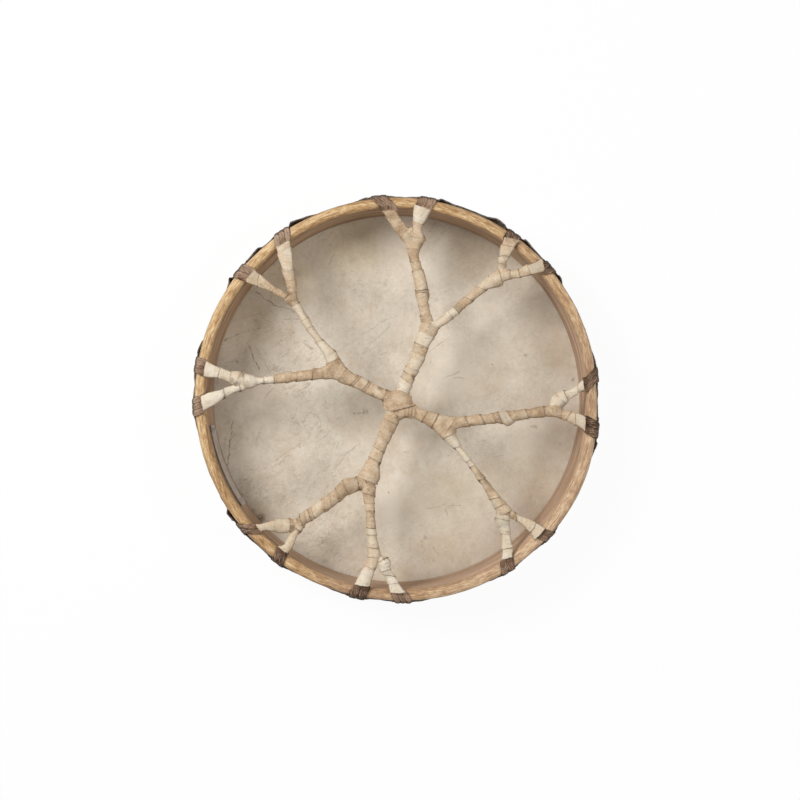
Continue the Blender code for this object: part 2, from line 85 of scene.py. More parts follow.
# The web: its height and half sizes in metres, and its crossing in millimetres
WEB_Z = 0.0572
HUB = (2.2, -3.9)
CROSSING_HALF = (0.0135, 0.0112, 0.0052)
TRUNK_FORK_HALF = (0.0085, 0.0085, 0.0050)
BRANCH_FORK_HALF = (0.0048, 0.0048, 0.0042)
THICKEST_ARM = 0.0054
TRUNK_FLATNESS = (0.74, 0.66)  # half height as a share of half width, at an arm's two ends
BRANCH_FLATNESS = (0.80, 0.78)
LEG_FLATNESS = (0.85, 0.30)
TRUNK_SLEEVE = 0.004  # how far before the arm's end its strip goes over all that it meets
BRANCH_SLEEVE = 0.003
UNDER = 0.0011  # how far the web's inner layer lies below the outside of its wrapping
STRIP = 0.0006
STRIP_LAP = 0.0026
STRIP_ACROSS = 8
TURN_STEPS = 44
BANDAGE = 0.0009
UP = np.array((0.0, 0.0, 1.0))

# The stage: places in metres, and each softbox's width in metres and watts
ROOM_LIGHT = 0.25
LIT_POINT = (0, 0, 0.03)
SOFTBOXES = {
    "key_softbox": ((-1.16, 0.70, 1.40), 1.0, 30.5),
    "fill_softbox": ((1.34, -0.10, 1.40), 1.0, 13.2),
}
CAMERA_PLACE = (0.0036, -0.0013, HOOP_TOP + 1.22)
CAMERA_LENS = 55.4
CAMERA_SENSOR = 36

# The web's arms from the hub outwards: x, y and width of each stretch, in millimetres
TRUNKS = {
    1: [(12.3, -10.6, 13.9), (16.0, -12.1, 12.4), (19.6, -13.7, 11.1), (28.7, -18.0, 12.4), (38.0, -21.8, 15.3),
        (43.3, -24.7, 18.2), (47.7, -27.0, 20.4)],
    2: [(5.4, 5.6, 13.1), (9.2, 14.8, 13.7), (12.2, 22.3, 12.9), (15.2, 28.6, 13.4), (17.5, 33.1, 14.1),
        (21.2, 42.3, 14.7), (24.6, 51.8, 14.9), (28.5, 61.0, 15.1), (31.7, 68.3, 17.0)],
    3: [(-6.6, 0.8, 11.4), (-11.0, 3.2, 11.7), (-15.7, 4.9, 12.8), (-24.8, 9.0, 11.1), (-33.5, 13.9, 12.8),
        (-37.8, 16.4, 12.3), (-42.7, 18.3, 12.6), (-47.4, 20.2, 13.6), (-51.7, 22.6, 15.0), (-55.8, 25.3, 16.0),
        (-59.7, 28.3, 18.7)],
    4: [(-2.0, -13.0, 14.8), (-6.0, -22.0, 15.9), (-9.5, -31.4, 14.7), (-13.1, -40.7, 13.6), (-15.3, -45.2, 12.2),
        (-17.1, -49.9, 11.8), (-18.9, -54.5, 12.6), (-20.8, -59.2, 13.3), (-22.5, -61.7, 12.7), (-23.5, -64.6, 13.6),
        (-24.6, -68.4, 16.4), (-25.6, -73.4, 19.8), (-27.2, -78.1, 21.3)],
}
BRANCHES = {
    1: [(51.2, -33.6, 17.2), (53.3, -37.0, 14.4), (54.4, -39.9, 11.7), (57.7, -43.7, 8.6), (60.8, -47.7, 7.0),
        (63.8, -51.7, 6.1), (69.8, -59.8, 5.8), (75.9, -67.7, 6.0), (81.8, -75.8, 6.8), (87.8, -83.7, 7.6),
        (93.4, -91.9, 8.4), (98.8, -100.3, 10.0), (102.2, -105.3, 12.0), (107.1, -112.8, 15.0)],
    2: [(56.1, -24.9, 14.4), (60.0, -24.1, 11.6), (63.0, -23.6, 10.7), (68.0, -23.0, 10.2), (77.8, -21.6, 10.2),
        (87.8, -20.8, 9.7), (97.7, -19.2, 9.7), (102.6, -18.5, 10.6), (107.6, -18.8, 12.4), (111.6, -18.6, 13.1),
        (115.5, -17.7, 11.8), (119.5, -16.7, 10.4), (127.4, -15.4, 9.7), (137.3, -13.9, 10.1), (147.2, -12.6, 10.9),
        (157.2, -12.4, 11.4)],
    3: [(35.9, 70.7, 11.1), (38.9, 73.3, 10.0), (43.4, 75.7, 8.7), (47.6, 78.4, 8.6), (55.3, 84.4, 9.1),
        (59.4, 88.2, 9.2), (62.7, 91.3, 8.3), (70.4, 97.8, 8.7), (78.1, 104.1, 9.8), (85.4, 111.0, 9.1),
        (89.6, 113.8, 10.4), (94.3, 115.8, 13.3), (98.7, 118.4, 15.6), (103.1, 120.8, 15.2)],
    4: [(31.1, 73.8, 12.6), (30.0, 77.7, 11.8), (28.8, 82.5, 11.0), (28.4, 87.5, 9.4), (26.5, 94.2, 10.6),
        (25.5, 99.1, 12.6), (25.6, 103.2, 13.6), (25.6, 107.3, 13.3), (24.9, 111.3, 13.0), (23.4, 117.1, 12.0),
        (21.4, 126.9, 10.8), (20.2, 129.2, 9.0), (19.0, 135.6, 9.2), (17.5, 138.4, 8.9), (16.4, 146.4, 10.2),
        (17.2, 150.5, 15.6), (17.4, 153.5, 18.0)],
    5: [(-63.1, 36.2, 14.8), (-63.9, 40.4, 13.3), (-66.1, 45.0, 11.6), (-69.7, 48.6, 11.1), (-72.9, 52.5, 8.9),
        (-76.0, 56.4, 7.4), (-82.1, 64.3, 7.0), (-87.5, 72.7, 7.6), (-92.8, 81.2, 8.0), (-97.9, 89.8, 8.4),
        (-101.8, 95.6, 9.6), (-104.8, 99.6, 13.6)],
    6: [(-64.4, 27.6, 15.3), (-68.2, 26.3, 14.1), (-73.0, 25.1, 10.8), (-78.0, 25.0, 10.9), (-82.0, 24.4, 10.7),
        (-87.8, 23.0, 9.7), (-97.8, 22.0, 9.6), (-105.8, 21.7, 10.8), (-109.8, 21.3, 10.9), (-115.6, 20.2, 9.7),
        (-120.5, 19.2, 7.6), (-127.5, 18.5, 6.7), (-137.5, 17.6, 7.0), (-143.5, 17.1, 7.8)],
    7: [(-34.8, -84.0, 12.2), (-38.8, -84.9, 14.4), (-41.8, -85.5, 15.4), (-46.7, -86.5, 15.3), (-51.3, -88.6, 15.6),
        (-53.5, -90.9, 14.2), (-56.8, -94.9, 12.4), (-62.4, -99.1, 12.0), (-70.7, -104.8, 13.0),
        (-78.9, -110.3, 12.2), (-86.7, -116.1, 11.9), (-90.2, -118.1, 10.9), (-93.8, -120.0, 10.2)],
    8: [(-27.1, -87.5, 15.8), (-27.5, -91.5, 13.6), (-27.4, -95.4, 12.2), (-27.1, -99.4, 10.6), (-26.8, -104.4, 9.8),
        (-26.3, -109.3, 9.2), (-25.9, -119.3, 8.7), (-25.0, -129.3, 9.0), (-24.5, -136.3, 9.8), (-24.5, -139.3, 9.4),
        (-23.7, -142.2, 10.6), (-23.4, -147.2, 10.1), (-22.9, -151.2, 10.9), (-21.8, -154.1, 12.2)],
}
LEGS = {
    1: [(105.0, -116.6, 12.4), (104.6, -120.8, 13.0), (106.2, -126.5, 11.4), (107.2, -130.6, 8.8),
        (107.6, -136.5, 8.4), (108.4, -144.6, 10.2), (109.3, -149.8, 11.8)],
    2: [(112.3, -114.0, 9.6), (115.8, -115.9, 7.2), (120.5, -117.8, 6.2), (126.5, -121.3, 8.2), (131.8, -124.3, 10.4),
        (136.0, -127.0, 12.2)],
    3: [(167.0, -16.1, 9.8), (171.6, -17.7, 10.6), (176.1, -19.4, 11.9), (180.7, -21.3, 12.8), (185.3, -23.4, 13.1)],
    4: [(160.2, -2.8, 15.0), (162.9, 0.3, 15.6), (166.8, 2.3, 12.8), (171.2, 3.4, 8.3), (175.2, 6.1, 8.0),
        (179.3, 8.7, 8.2), (184.4, 11.9, 8.6)],
    5: [(109.6, 123.9, 11.1), (113.8, 123.2, 8.0), (119.7, 123.6, 7.7), (123.5, 124.7, 8.7), (127.3, 126.2, 9.8),
        (131.2, 127.5, 11.0), (136.2, 128.6, 11.8)],
    6: [(103.4, 128.1, 6.3), (104.9, 131.8, 8.9), (105.8, 136.8, 8.4), (106.1, 139.8, 8.6), (107.6, 143.4, 11.6),
        (109.2, 149.0, 13.6)],
    7: [(18.2, 155.1, 16.1), (19.4, 158.9, 16.7), (20.4, 162.8, 13.3), (20.9, 166.8, 9.3), (20.9, 169.9, 7.6),
        (21.3, 173.9, 9.8), (22.3, 177.6, 14.1), (24.1, 182.3, 16.4)],
    8: [(13.0, 156.7, 10.0), (9.0, 162.5, 11.3), (3.1, 170.5, 12.3), (-0.1, 174.4, 11.8), (-2.6, 178.7, 12.8),
        (-6.0, 184.9, 13.8)],
    9: [(-103.4, 104.6, 8.3), (-103.6, 108.6, 9.6), (-104.1, 113.6, 10.7), (-105.5, 118.5, 10.1),
        (-107.5, 128.3, 11.7), (-109.1, 138.2, 13.8), (-111.1, 148.0, 15.3)],
    10: [(-109.1, 100.4, 6.9), (-112.5, 102.5, 6.7), (-116.6, 105.5, 7.0), (-121.1, 107.7, 6.7), (-125.5, 110.0, 7.6),
        (-129.7, 112.8, 9.4), (-134.2, 115.0, 11.1), (-138.5, 117.6, 13.3), (-141.8, 119.9, 14.8)],
    11: [(-152.5, 17.5, 13.3), (-157.0, 19.8, 15.9), (-160.9, 20.7, 14.7), (-164.0, 20.9, 11.9), (-168.5, 23.4, 9.6),
        (-173.3, 24.7, 9.7), (-176.2, 25.3, 11.2), (-182.9, 27.4, 14.7)],
    12: [(-152.1, 12.1, 7.4), (-156.1, 11.4, 7.8), (-163.8, 8.8, 8.0), (-169.9, 5.7, 9.4), (-172.6, 4.5, 10.2),
        (-177.1, 2.3, 12.0), (-181.6, 0.2, 13.8), (-186.2, -1.7, 15.4)],
    13: [(-97.5, -124.0, 10.5), (-101.9, -126.0, 13.0), (-109.5, -125.9, 14.8), (-114.5, -126.3, 14.2),
        (-119.6, -126.1, 13.0), (-124.6, -126.3, 10.9), (-129.7, -127.2, 8.0), (-134.7, -127.7, 7.4)],
    14: [(-92.9, -125.2, 7.2), (-96.6, -128.1, 7.6), (-98.8, -130.4, 7.3), (-102.7, -136.2, 7.8),
        (-105.0, -141.6, 8.2), (-106.6, -145.2, 9.0), (-109.2, -149.6, 11.4)],
    15: [(-23.1, -158.6, 11.7), (-24.4, -163.4, 11.6), (-26.5, -167.8, 11.3), (-28.3, -172.4, 12.8),
        (-32.6, -181.4, 14.4)],
    16: [(-16.5, -156.8, 4.4), (-14.5, -160.4, 5.8), (-13.2, -164.5, 9.6), (-11.9, -168.3, 10.6),
        (-9.7, -171.6, 10.0), (-6.7, -175.7, 9.6), (-4.1, -180.0, 9.6), (-1.7, -185.5, 11.9)],
}
# Where each leg meets the hoop: bearings at the hoop's inner and outer edge, width of the leg's flat end and of the
# lace in millimetres, and how many strands the lace has
RIM = {
    1: (304.5, 303.0, 14.4, 15.0, 2), 2: (316.6, 318.0, 15.5, 12.5, 2), 3: (352.3, 351.0, 14.0, 17.0, 2),
    4: (364.3, 366.8, 10.5, 14.5, 2), 5: (42.2, 40.5, 13.0, 14.0, 2), 6: (54.0, 54.4, 14.6, 15.5, 2),
    7: (82.0, 81.0, 17.0, 17.5, 2), 8: (92.3, 95.0, 14.0, 17.0, 2), 9: (126.3, 124.6, 15.5, 18.5, 3),
    10: (140.0, 140.8, 15.0, 16.5, 2), 11: (171.2, 170.3, 15.0, 16.5, 2), 12: (181.5, 182.4, 15.0, 19.0, 3),
    13: (223.0, 220.0, 8.5, 13.0, 2), 14: (233.2, 234.0, 11.0, 13.0, 2), 15: (259.7, 258.7, 14.8, 16.5, 2),
    16: (270.5, 271.9, 15.5, 17.0, 3),
}
# How far each leg's wrapping ends past the hoop's inner edge, in millimetres
LEG_REACH = {
    1: -0.8, 2: 1.3, 3: -2.5, 4: -4.5, 5: 5.6, 6: 4.6, 7: 0.5, 8: -4.5, 9: -0.5, 10: -1.0, 11: 1.0, 12: 1.5, 13: -3.0,
    14: -3.5, 15: -2.5, 16: 0.8,
}
# How far the end of each leg's wrapping slants over the leg, in millimetres
LEG_SLANT = {
    1: 5.0, 4: -1.5, 5: 8.0, 6: -6.5, 7: 2.5, 8: -2.0, 9: 2.0, 10: -1.0, 12: -1.5, 13: 1.5, 14: -1.0, 15: -2.0,
}
# How pale each lace is over the hoop, from nearly black at 0 to worn at 1
STRAP_TONE = {
    1: .56, 2: .48, 3: .35, 4: .45, 5: .45, 6: .40, 7: .77, 8: .66, 9: .88, 10: .74, 11: .75, 12: .78, 13: .62,
    14: .32, 15: .36, 16: .71,
}
# How far the hand-bent hoop's back edge stands out of round: bearing, millimetres
HOOP_SPREAD = [
    (0, -.8), (3, -1.2), (8, -.8), (14, .1), (20, .2), (40, .2), (60, 0), (120, 0), (140, .8), (160, .9), (176, .4),
    (186, 0), (216, 0), (262, 0), (272, .8), (280, 2.0), (290, 3.2), (305, 4.0), (324, 4.7), (332, 4.7), (340, 3.8),
    (348, 1.8), (356, -.2), (360, -.8),
]
# How much lighter or darker the wood is along the hoop: bearing, shift
HOOP_TONE = [
    (0, -0.007), (24, -0.013), (68, -0.013), (110, -0.009), (140, 0.009), (156, 0.014), (172, 0.003), (200, -0.013),
    (230, -0.02), (247, -0.027), (268, -0.017), (290, -0.011), (334, -0.006), (360, -0.007),
]
# Knots and thick folds under the wrapping: x, y, half width and half height in millimetres
KNOTS = [
    (24.4, 159.0, 3.8, 4.4), (14.4, 166.2, 3.6, 4.6), (110.6, -21.6, 4.4, 5.2), (163.0, 0.0, 6.0, 5.4),
    (104.8, -121.0, 6.2, 5.0), (-11.8, -163.2, 5.4, 5.0), (-95.3, -124.6, 4.2, 4.0), (-47.0, -86.6, 7.0, 5.6),
    (99.5, 118.0, 6.5, 4.8), (3.6, -14.6, 5.8, 4.3), (7.4, -14.0, 5.3, 4.3), (11.4, -13.4, 5.3, 4.3),
    (15.4, -12.9, 5.8, 4.5),
]
# The strip wound on each arm: where it starts, then for each turn where its edge lies on top, how much further out
# that edge is on the arm's left, in millimetres, its tint from brown at 0 to white at 1, and how dark the painted
# shade along that edge is
TRUNK_BANDS = {
    1: (17, [(29, 1, .43, .1), (41, 2, .41, 1), (57, 2, .49, .5)]),
    2: (11, [(22.6, 3.5, .92, .5), (30, 3, .54, .9), (36.8, -2.5, .66, .6), (51.8, 2.5, .68, .25), (61.3, 1, .50, 1),
        (74, 0, .80, .3), (84, -2, .58, .5)]),
    3: (9, [(15.8, 0, .47, .9), (34.3, 1.5, .56, .8), (36.8, 2, .40, .9), (46.8, 4, .61, .9), (49.6, 4, .40, .9),
        (62.5, 1, .42, .3), (76, 0, .44, .5)]),
    4: (9, [(20.5, 1, .46, .4), (29, 3, .41, .1), (39, 4, .47, .5), (50.7, 3, .50, .9), (62.2, .4, .60, .9),
        (84, 3, .53, .5)]),
}
BRANCH_BANDS = {
    1: (3, [(11, 2, .45, .3), (24.5, 2.5, .84, .6), (42.5, 2.5, .94, .6), (48.5, 1, .88, .1), (65, 3, .56, 1),
        (88, 4, .49, .7), (97, 2, .54, .8), (105.5, 3, .58, .7)]),
    2: (7, [(23.5, -4.5, .41, 1), (38.8, -5.5, .49, 1), (50, -3, .42, .7), (56, -5, .32, .8), (66, -7, .60, .7),
        (83, -2, .36, .3), (100, -1, .33, .5), (117, 0, .40, .3)]),
    3: (8, [(27, .5, .74, .8), (34.5, 0, .86, 1), (42, -1, .43, .3), (50.3, -3.5, .50, .8), (67, -6.5, .51, .5),
        (89, 4, .63, .7), (98, 0, .60, .5)]),
    4: (6, [(14.5, 0, .52, .4), (25, -1, .50, .2), (37.8, .5, .54, 1), (39.8, 0, .58, 1), (60.3, .5, .60, .8),
        (69.5, 1.5, .50, 1), (82, 1.5, .39, .4), (93, 0, .50, .5)]),
    5: (3, [(9.5, 1, .42, .5), (17.3, 1, .85, .4), (33.5, 4, .82, 1), (50, 2, .77, .8), (59.8, 2, .75, .4),
        (77.5, 1.5, .71, .4), (88, 0, .40, .5)]),
    6: (7, [(13, 0, .42, .1), (24, 3, .38, 1), (40, 1, .44, .3), (50.5, 1, .46, .2), (62.3, 1, .43, .8),
        (72, 0, .92, .6), (92, -2, .92, .4)]),
    7: (7, [(12.5, 2, .44, .9), (26.5, 3, .37, .6), (36.3, 5.5, .41, 1), (45.5, 5, .44, .5), (54.5, 4, .45, .3),
        (67, 3, .64, .6), (71, 3, .44, .9), (75.5, 3, .50, .6), (81, 3, .43, .9)]),
    8: (9, [(17, 5, .44, 1), (26, 1, .50, .4), (33.8, .5, .65, .7), (50.5, 1, .47, 1), (57.5, .5, .76, .7),
        (70.3, 5, .65, 1), (80, 3, .66, .8)]),
}
LEG_BANDS = {
    1: (4, [(7.5, 2, .78, .6), (18.2, 3, .86, .9), (20.6, 1.5, .72, .9), (34.6, 0, .78, .9), (48, 0, .94, .6)]),
    2: (8, [(11, -5, .50, .8), (29.8, -2, .68, .9), (42, 0, .76, .6)]),
    3: (8, [(14, 3, .48, .2), (20.5, -4, .55, .2), (36, 2, .72, .5)]),
    4: (5, [(14, 0, .80, .15), (20, 2, .98, 1), (33.5, 4, .90, .7), (42, 2, .94, .5)]),
    5: (8, [(10, 1, .56, .8), (19.5, 0, .56, .8), (29, 1, .56, .2), (42, 0, .66, .5)]),
    6: (6, [(13.5, 0, .60, .7), (21.3, -3, .64, .9), (31.7, -4, .60, .9), (37, 1, .50, .5)]),
    7: (9, [(21.5, 2, .51, .3), (40, 0, .85, .5)]),
    8: (8, [(14, -3, .46, .2), (26, 3, .37, .4), (33, 5, .39, .5), (44, 1, .41, .5)]),
    9: (8, [(18, 2, .42, .2), (28, 3, .52, .7), (48.7, 1, .70, .7), (56, 1, .66, .5)]),
    10: (7, [(18, 3, .41, .5), (37, -6, .48, .8), (49, 0, .57, .5)]),
    11: (9, [(14, 3, .80, .9), (21, -3, .74, .8), (33, 0, .88, 1), (46, 0, .95, .5)]),
    12: (6, [(13, 1, .90, .8), (29.5, 2.5, .90, 1), (51, 0, .97, .5)]),
    13: (8, [(13.5, 3, .44, .6), (28, -2, .63, .1), (46, 1, .66, .5)]),
    14: (8, [(11.5, 1, .46, .9), (30, 0, .63, .6), (38, 0, .62, .5)]),
    15: (5, [(14, 0, .68, .6), (32, -5, .98, .7), (37, 1, .95, .5)]),
    16: (6, [(10, 1, .80, .9), (20.5, 3, .94, .5), (26, 8, .84, 1), (35, 2, .99, .7), (45, 1, .96, .5)]),
}
# Stains on the wrapping, some of the brown ones painted shade in holes under loops and on shaded sides: x, y and
# radius in millimetres, and strength, brown above 0 and grey below
WRAP_STAINS_AND_SHADE = [
    (46.7, -27.6, 4.0, 0.35), (35.1, -27.7, 2.0, 0.5), (31.6, -21.3, 4.5, 0.22), (18.1, 20.7, 2.6, 1.0),
    (16.1, 22.9, 1.7, 0.9), (31.8, 66.0, 2.6, -0.35), (23.3, 51.1, 2.4, 0.3), (-23.8, 3.1, 2.6, 0.9),
    (-16.2, 10.1, 2.4, 0.8), (-14.2, -2.1, 2.2, 0.8), (-9.1, 8.7, 2.0, 0.8), (-63.5, 26.8, 3.4, 0.45),
    (-17.2, -65.1, 2.2, 0.85), (0.3, -18.9, 2.0, 0.6), (-7.4, -25.9, 5.0, 0.28), (-12.4, -52.9, 2.2, 0.55),
    (82.3, -72.2, 2.6, 0.45), (85.2, -76.2, 3.0, 0.8), (88.8, -81.0, 3.0, 0.85), (92.4, -85.9, 2.6, 0.6),
    (82.4, -80.8, 1.4, 0.7), (104.3, -114.0, 2.4, 0.4), (74.7, -25.6, 2.2, 0.7), (87.6, -24.3, 1.8, 0.5),
    (67.9, -28.0, 3.5, 0.5), (141.6, -13.3, 1.8, 0.7), (144.7, -14.5, 1.4, 0.5), (102.0, -17.8, 2.2, -0.7),
    (107.0, -17.7, 4.0, -0.8), (111.6, -23.4, 3.4, -0.7), (54.4, 80.6, 2.6, 0.5), (64.6, 88.2, 3.2, 0.4),
    (75.4, 96.7, 2.4, 0.5), (101.2, 114.0, 4.0, 0.35), (31.6, 103.3, 3.0, 0.7), (30.6, 115.1, 2.6, 0.6),
    (13.1, 138.7, 2.2, 0.75), (24.6, 81.8, 1.2, 0.7), (24.3, 151.8, 3.0, 0.5), (-73.3, 58.6, 1.4, 0.8),
    (-106.7, 97.1, 2.4, 0.5), (-101.1, 98.8, 2.4, 0.4), (-106.7, 102.1, 4.0, 0.4), (-81.9, 22.3, 1.5, 0.4),
    (-95.1, 21.8, 1.2, 0.55), (-91.7, 27.2, 2.2, 0.35), (-130.5, 14.2, 3.0, 0.5), (-88.5, 18.5, 2.4, 0.5),
    (-80.0, 29.7, 2.0, 0.4), (-50.7, -86.4, 3.2, 0.55), (-45.4, -88.5, 2.8, 0.45), (-42.6, -83.6, 3.0, -0.3),
    (-57.3, -97.7, 2.0, 0.6), (-85.3, -117.4, 1.8, 0.6), (-92.3, -123.7, 1.8, 0.5), (-22.8, -95.0, 3.0, 0.6),
    (-27.3, -90.1, 1.6, 0.6), (-29.8, -96.2, 1.3, 0.6), (-31.4, -102.4, 1.6, 0.5), (-36.3, -88.6, 2.0, 0.75),
    (-23.0, -115.9, 3.0, 0.3), (-26.2, -112.1, 1.2, 0.5), (105.2, -122.4, 6.0, -0.7), (100.1, -119.2, 3.4, -0.7),
    (109.0, -130.4, 1.8, 0.5), (111.8, -146.3, 1.3, 0.5), (115.6, -115.7, 1.8, 0.6), (163.2, -7.7, 2.4, 0.8),
    (180.6, -21.3, 5.0, -0.4), (157.6, -7.8, 2.0, 0.5), (169.6, 1.5, 1.6, 0.6), (166.4, -5.3, 3.0, 0.4),
    (181.8, 7.9, 1.4, 0.5), (112.6, 127.4, 1.4, 0.5), (138.4, 131.2, 6.5, -0.75), (108.8, 131.7, 2.0, 0.5),
    (110.7, 158.2, 4.0, 0.5), (117.1, 157.8, 3.0, 0.5), (3.7, 168.0, 4.0, 0.3), (-4.4, 181.9, 4.0, 0.35),
    (-152.3, 23.2, 2.2, 0.6), (-162.1, 18.3, 2.2, 0.6), (-171.2, 18.8, 3.4, -0.6), (-176.9, 20.4, 1.4, 1.0),
    (-155.0, 7.4, 1.4, 0.7), (-170.1, 2.3, 1.3, 0.6), (-159.2, 14.5, 2.2, 0.45), (-102.8, -126.7, 2.2, 0.9),
    (-97.4, -131.3, 1.8, 0.7), (-113.9, -126.2, 4.0, -0.4), (-119.8, -132.2, 3.0, 0.5), (-95.2, -132.0, 1.7, 0.95),
    (-102.3, -126.3, 1.7, 0.8), (-21.0, -169.0, 2.2, 0.6), (-29.0, -183.2, 1.5, 0.8), (-8.8, -172.8, 3.6, -0.8),
    (-12.2, -158.9, 1.3, 0.7), (-17.0, -170.8, 2.0, 0.5), (-13.7, -2.2, 1.8, 0.6), (-7.3, 7.3, 1.8, 0.55),
    (25.3, 51.2, 1.8, 0.55), (-142.0, 121.8, 6.0, -0.55), (-104.5, 125.2, 2.2, -0.6), (-63.6, 29.7, 4.0, 0.45),
    (-80.6, 25.1, 3.0, 0.4), (29.8, 107.0, 2.6, 0.55), (105.9, 132.6, 3.0, 0.45), (60.5, 91.1, 3.6, 0.45),
    (76.4, 97.9, 2.2, 0.4), (-44.2, -85.5, 3.8, -0.4), (-115.8, -132.1, 4.2, -0.55), (-22.7, -83.2, 4.6, 0.35),
    (123.0, -13.9, 5.0, -0.35), (145.7, -11.6, 5.0, 0.4), (55.6, -32.0, 4.0, 0.45), (47.0, -22.0, 3.0, 0.35),
    (91.0, -20.5, 3.2, 0.3), (-158.0, 15.5, 2.6, 0.4), (-148.0, 15.0, 2.8, 0.35), (27.0, 78.0, 2.6, 0.35),
    (33.5, 71.5, 2.4, 0.4), (160.0, -10.5, 3.2, 0.45), (-27.8, -176.0, 3.5, -0.25), (13.5, 158.0, 3.0, 0.4),
    (27.5, 160.0, 2.4, 0.5), (-36.0, 14.5, 2.4, 0.4), (-66.0, 44.0, 2.6, -0.4), (83.2, -74.1, 4.0, 0.45),
    (91.2, -83.2, 3.5, 0.5), (93.5, -88.5, 4.0, 0.5), (-120.4, -125.2, 9.0, -0.4), (-130.6, -127.5, 6.0, -0.35),
    (-55.7, -90.5, 6.0, 0.3), (33.4, -16.2, 5.0, 0.16), (-25.0, -120.0, 4.5, 0.14), (73.0, -65.7, 5.0, 0.16),
]
# The bandage over the crossing and the band bent round below it, as seen from the back: middle and outline in
# millimetres, with how crisp the edge lies, and the band's folds by place, lean, width and depth
PATCH_MIDDLE = (1.5, -1.5)
HUB_PATCH = [
    (-12.2, -10.5, .8), (-13.7, -2.6, .9), (-10.3, 5.0, .9), (-6.5, 7.6, .7), (-2.7, 8.4, .1), (2.2, 10.6, .1),
    (8.6, 8.4, .1), (14.4, 5.7, .4), (15.4, 2.0, .6), (15.6, -1.8, .6), (19.4, -5.6, .9), (12.5, -8.2, 1),
    (7.9, -9.4, 1), (1.8, -10.9, 1), (-3.5, -12.3, 1), (-7.2, -12.1, 1), (-11.1, -11.1, .9),
]
BEND_MIDDLE = (10.5, -13.4)
HUB_BEND = [
    (-2.7, -13.9, 1), (0.3, -17.6, 1), (3.4, -20.8, .8), (7.0, -19.4, .2), (10.9, -18.7, .2), (17.7, -18.7, .2),
    (22.0, -20.4, .3), (24.5, -14.5, .2), (22.6, -8.6, .2), (18.4, -5.4, .2), (12.5, -7.0, .1), (7.9, -8.0, .1),
    (1.8, -9.4, .1), (-2.6, -11.0, .2),
]
BEND_FOLDS = [
    (15.6, 0.12, 0.9, 0.9), (12.6, 0.10, 0.7, 0.5), (9.0, 0.16, 0.8, 0.35), (17.6, 0.05, 0.9, -0.5),
    (20.4, 0.20, 0.7, 0.4),
]
# How far the hide's edge stands out past the hoop: bearing, millimetres
HIDE_LUMPS = [
    (0, 0.3), (4, 0.5), (8, 1.6), (12, 0.6), (14, 0.2), (34.5, 0.2), (36, 2.2), (39, 2.6), (41, 2), (43.5, 0.8),
    (47, 1.4), (50, 2.4), (52, 3.2), (57, 3.2), (61, 3.6), (62.3, 2.8), (63.5, 1.6), (68, 1.2), (74, 1.2), (77, 2.2),
    (80, 2.6), (83.3, 3.2), (84, 0.5), (90, 0.2), (92, 1.0), (97, 2.4), (99, 1.8), (101, 0), (104, 0), (113, 0.2),
    (115, 1.2), (118, 2.2), (120.5, 3), (122, 4), (124, 3.6), (126, 1.6), (128, 0.6), (130, 0.4), (131.5, 0.6),
    (132.5, 2), (137, 1.8), (138.5, 3), (141, 4.4), (144, 4), (145.5, 1.4), (147, 0.3), (163, 0.2), (165.5, 1.8),
    (168, 2.4), (173, 1.6), (175, 0.4), (180, 0.7), (185, 0.4), (187, 0.3), (205, 0.4), (210, 0.6), (213.2, 0.6),
    (214.1, 3.2), (216, 2.6), (219, 3.2), (222.5, 1), (224, 0.9), (226, 0.6), (227, 0.8), (229, 0.2), (231, 0.2),
    (234, 1.2), (236, 0.3), (238, 0.2), (253, 0.2), (254.6, 0.8), (255.3, 0.4), (256.5, 1), (258, 0.2), (260.5, 1.8),
    (262, 0.3), (267, 0.3), (269, 0.7), (273, 0.6), (276, 0.8), (278, 0.4), (297, 0.4), (299, 0.6), (304, 1.6),
    (306, 0.3), (314, 0.3), (316, 1.2), (320, 1.6), (321.5, 0.3), (343, 0.3), (345.5, 0.8), (347.5, 2.2), (350, 2.4),
    (354, 2.4), (355, 0.6), (360, 0.3),
]
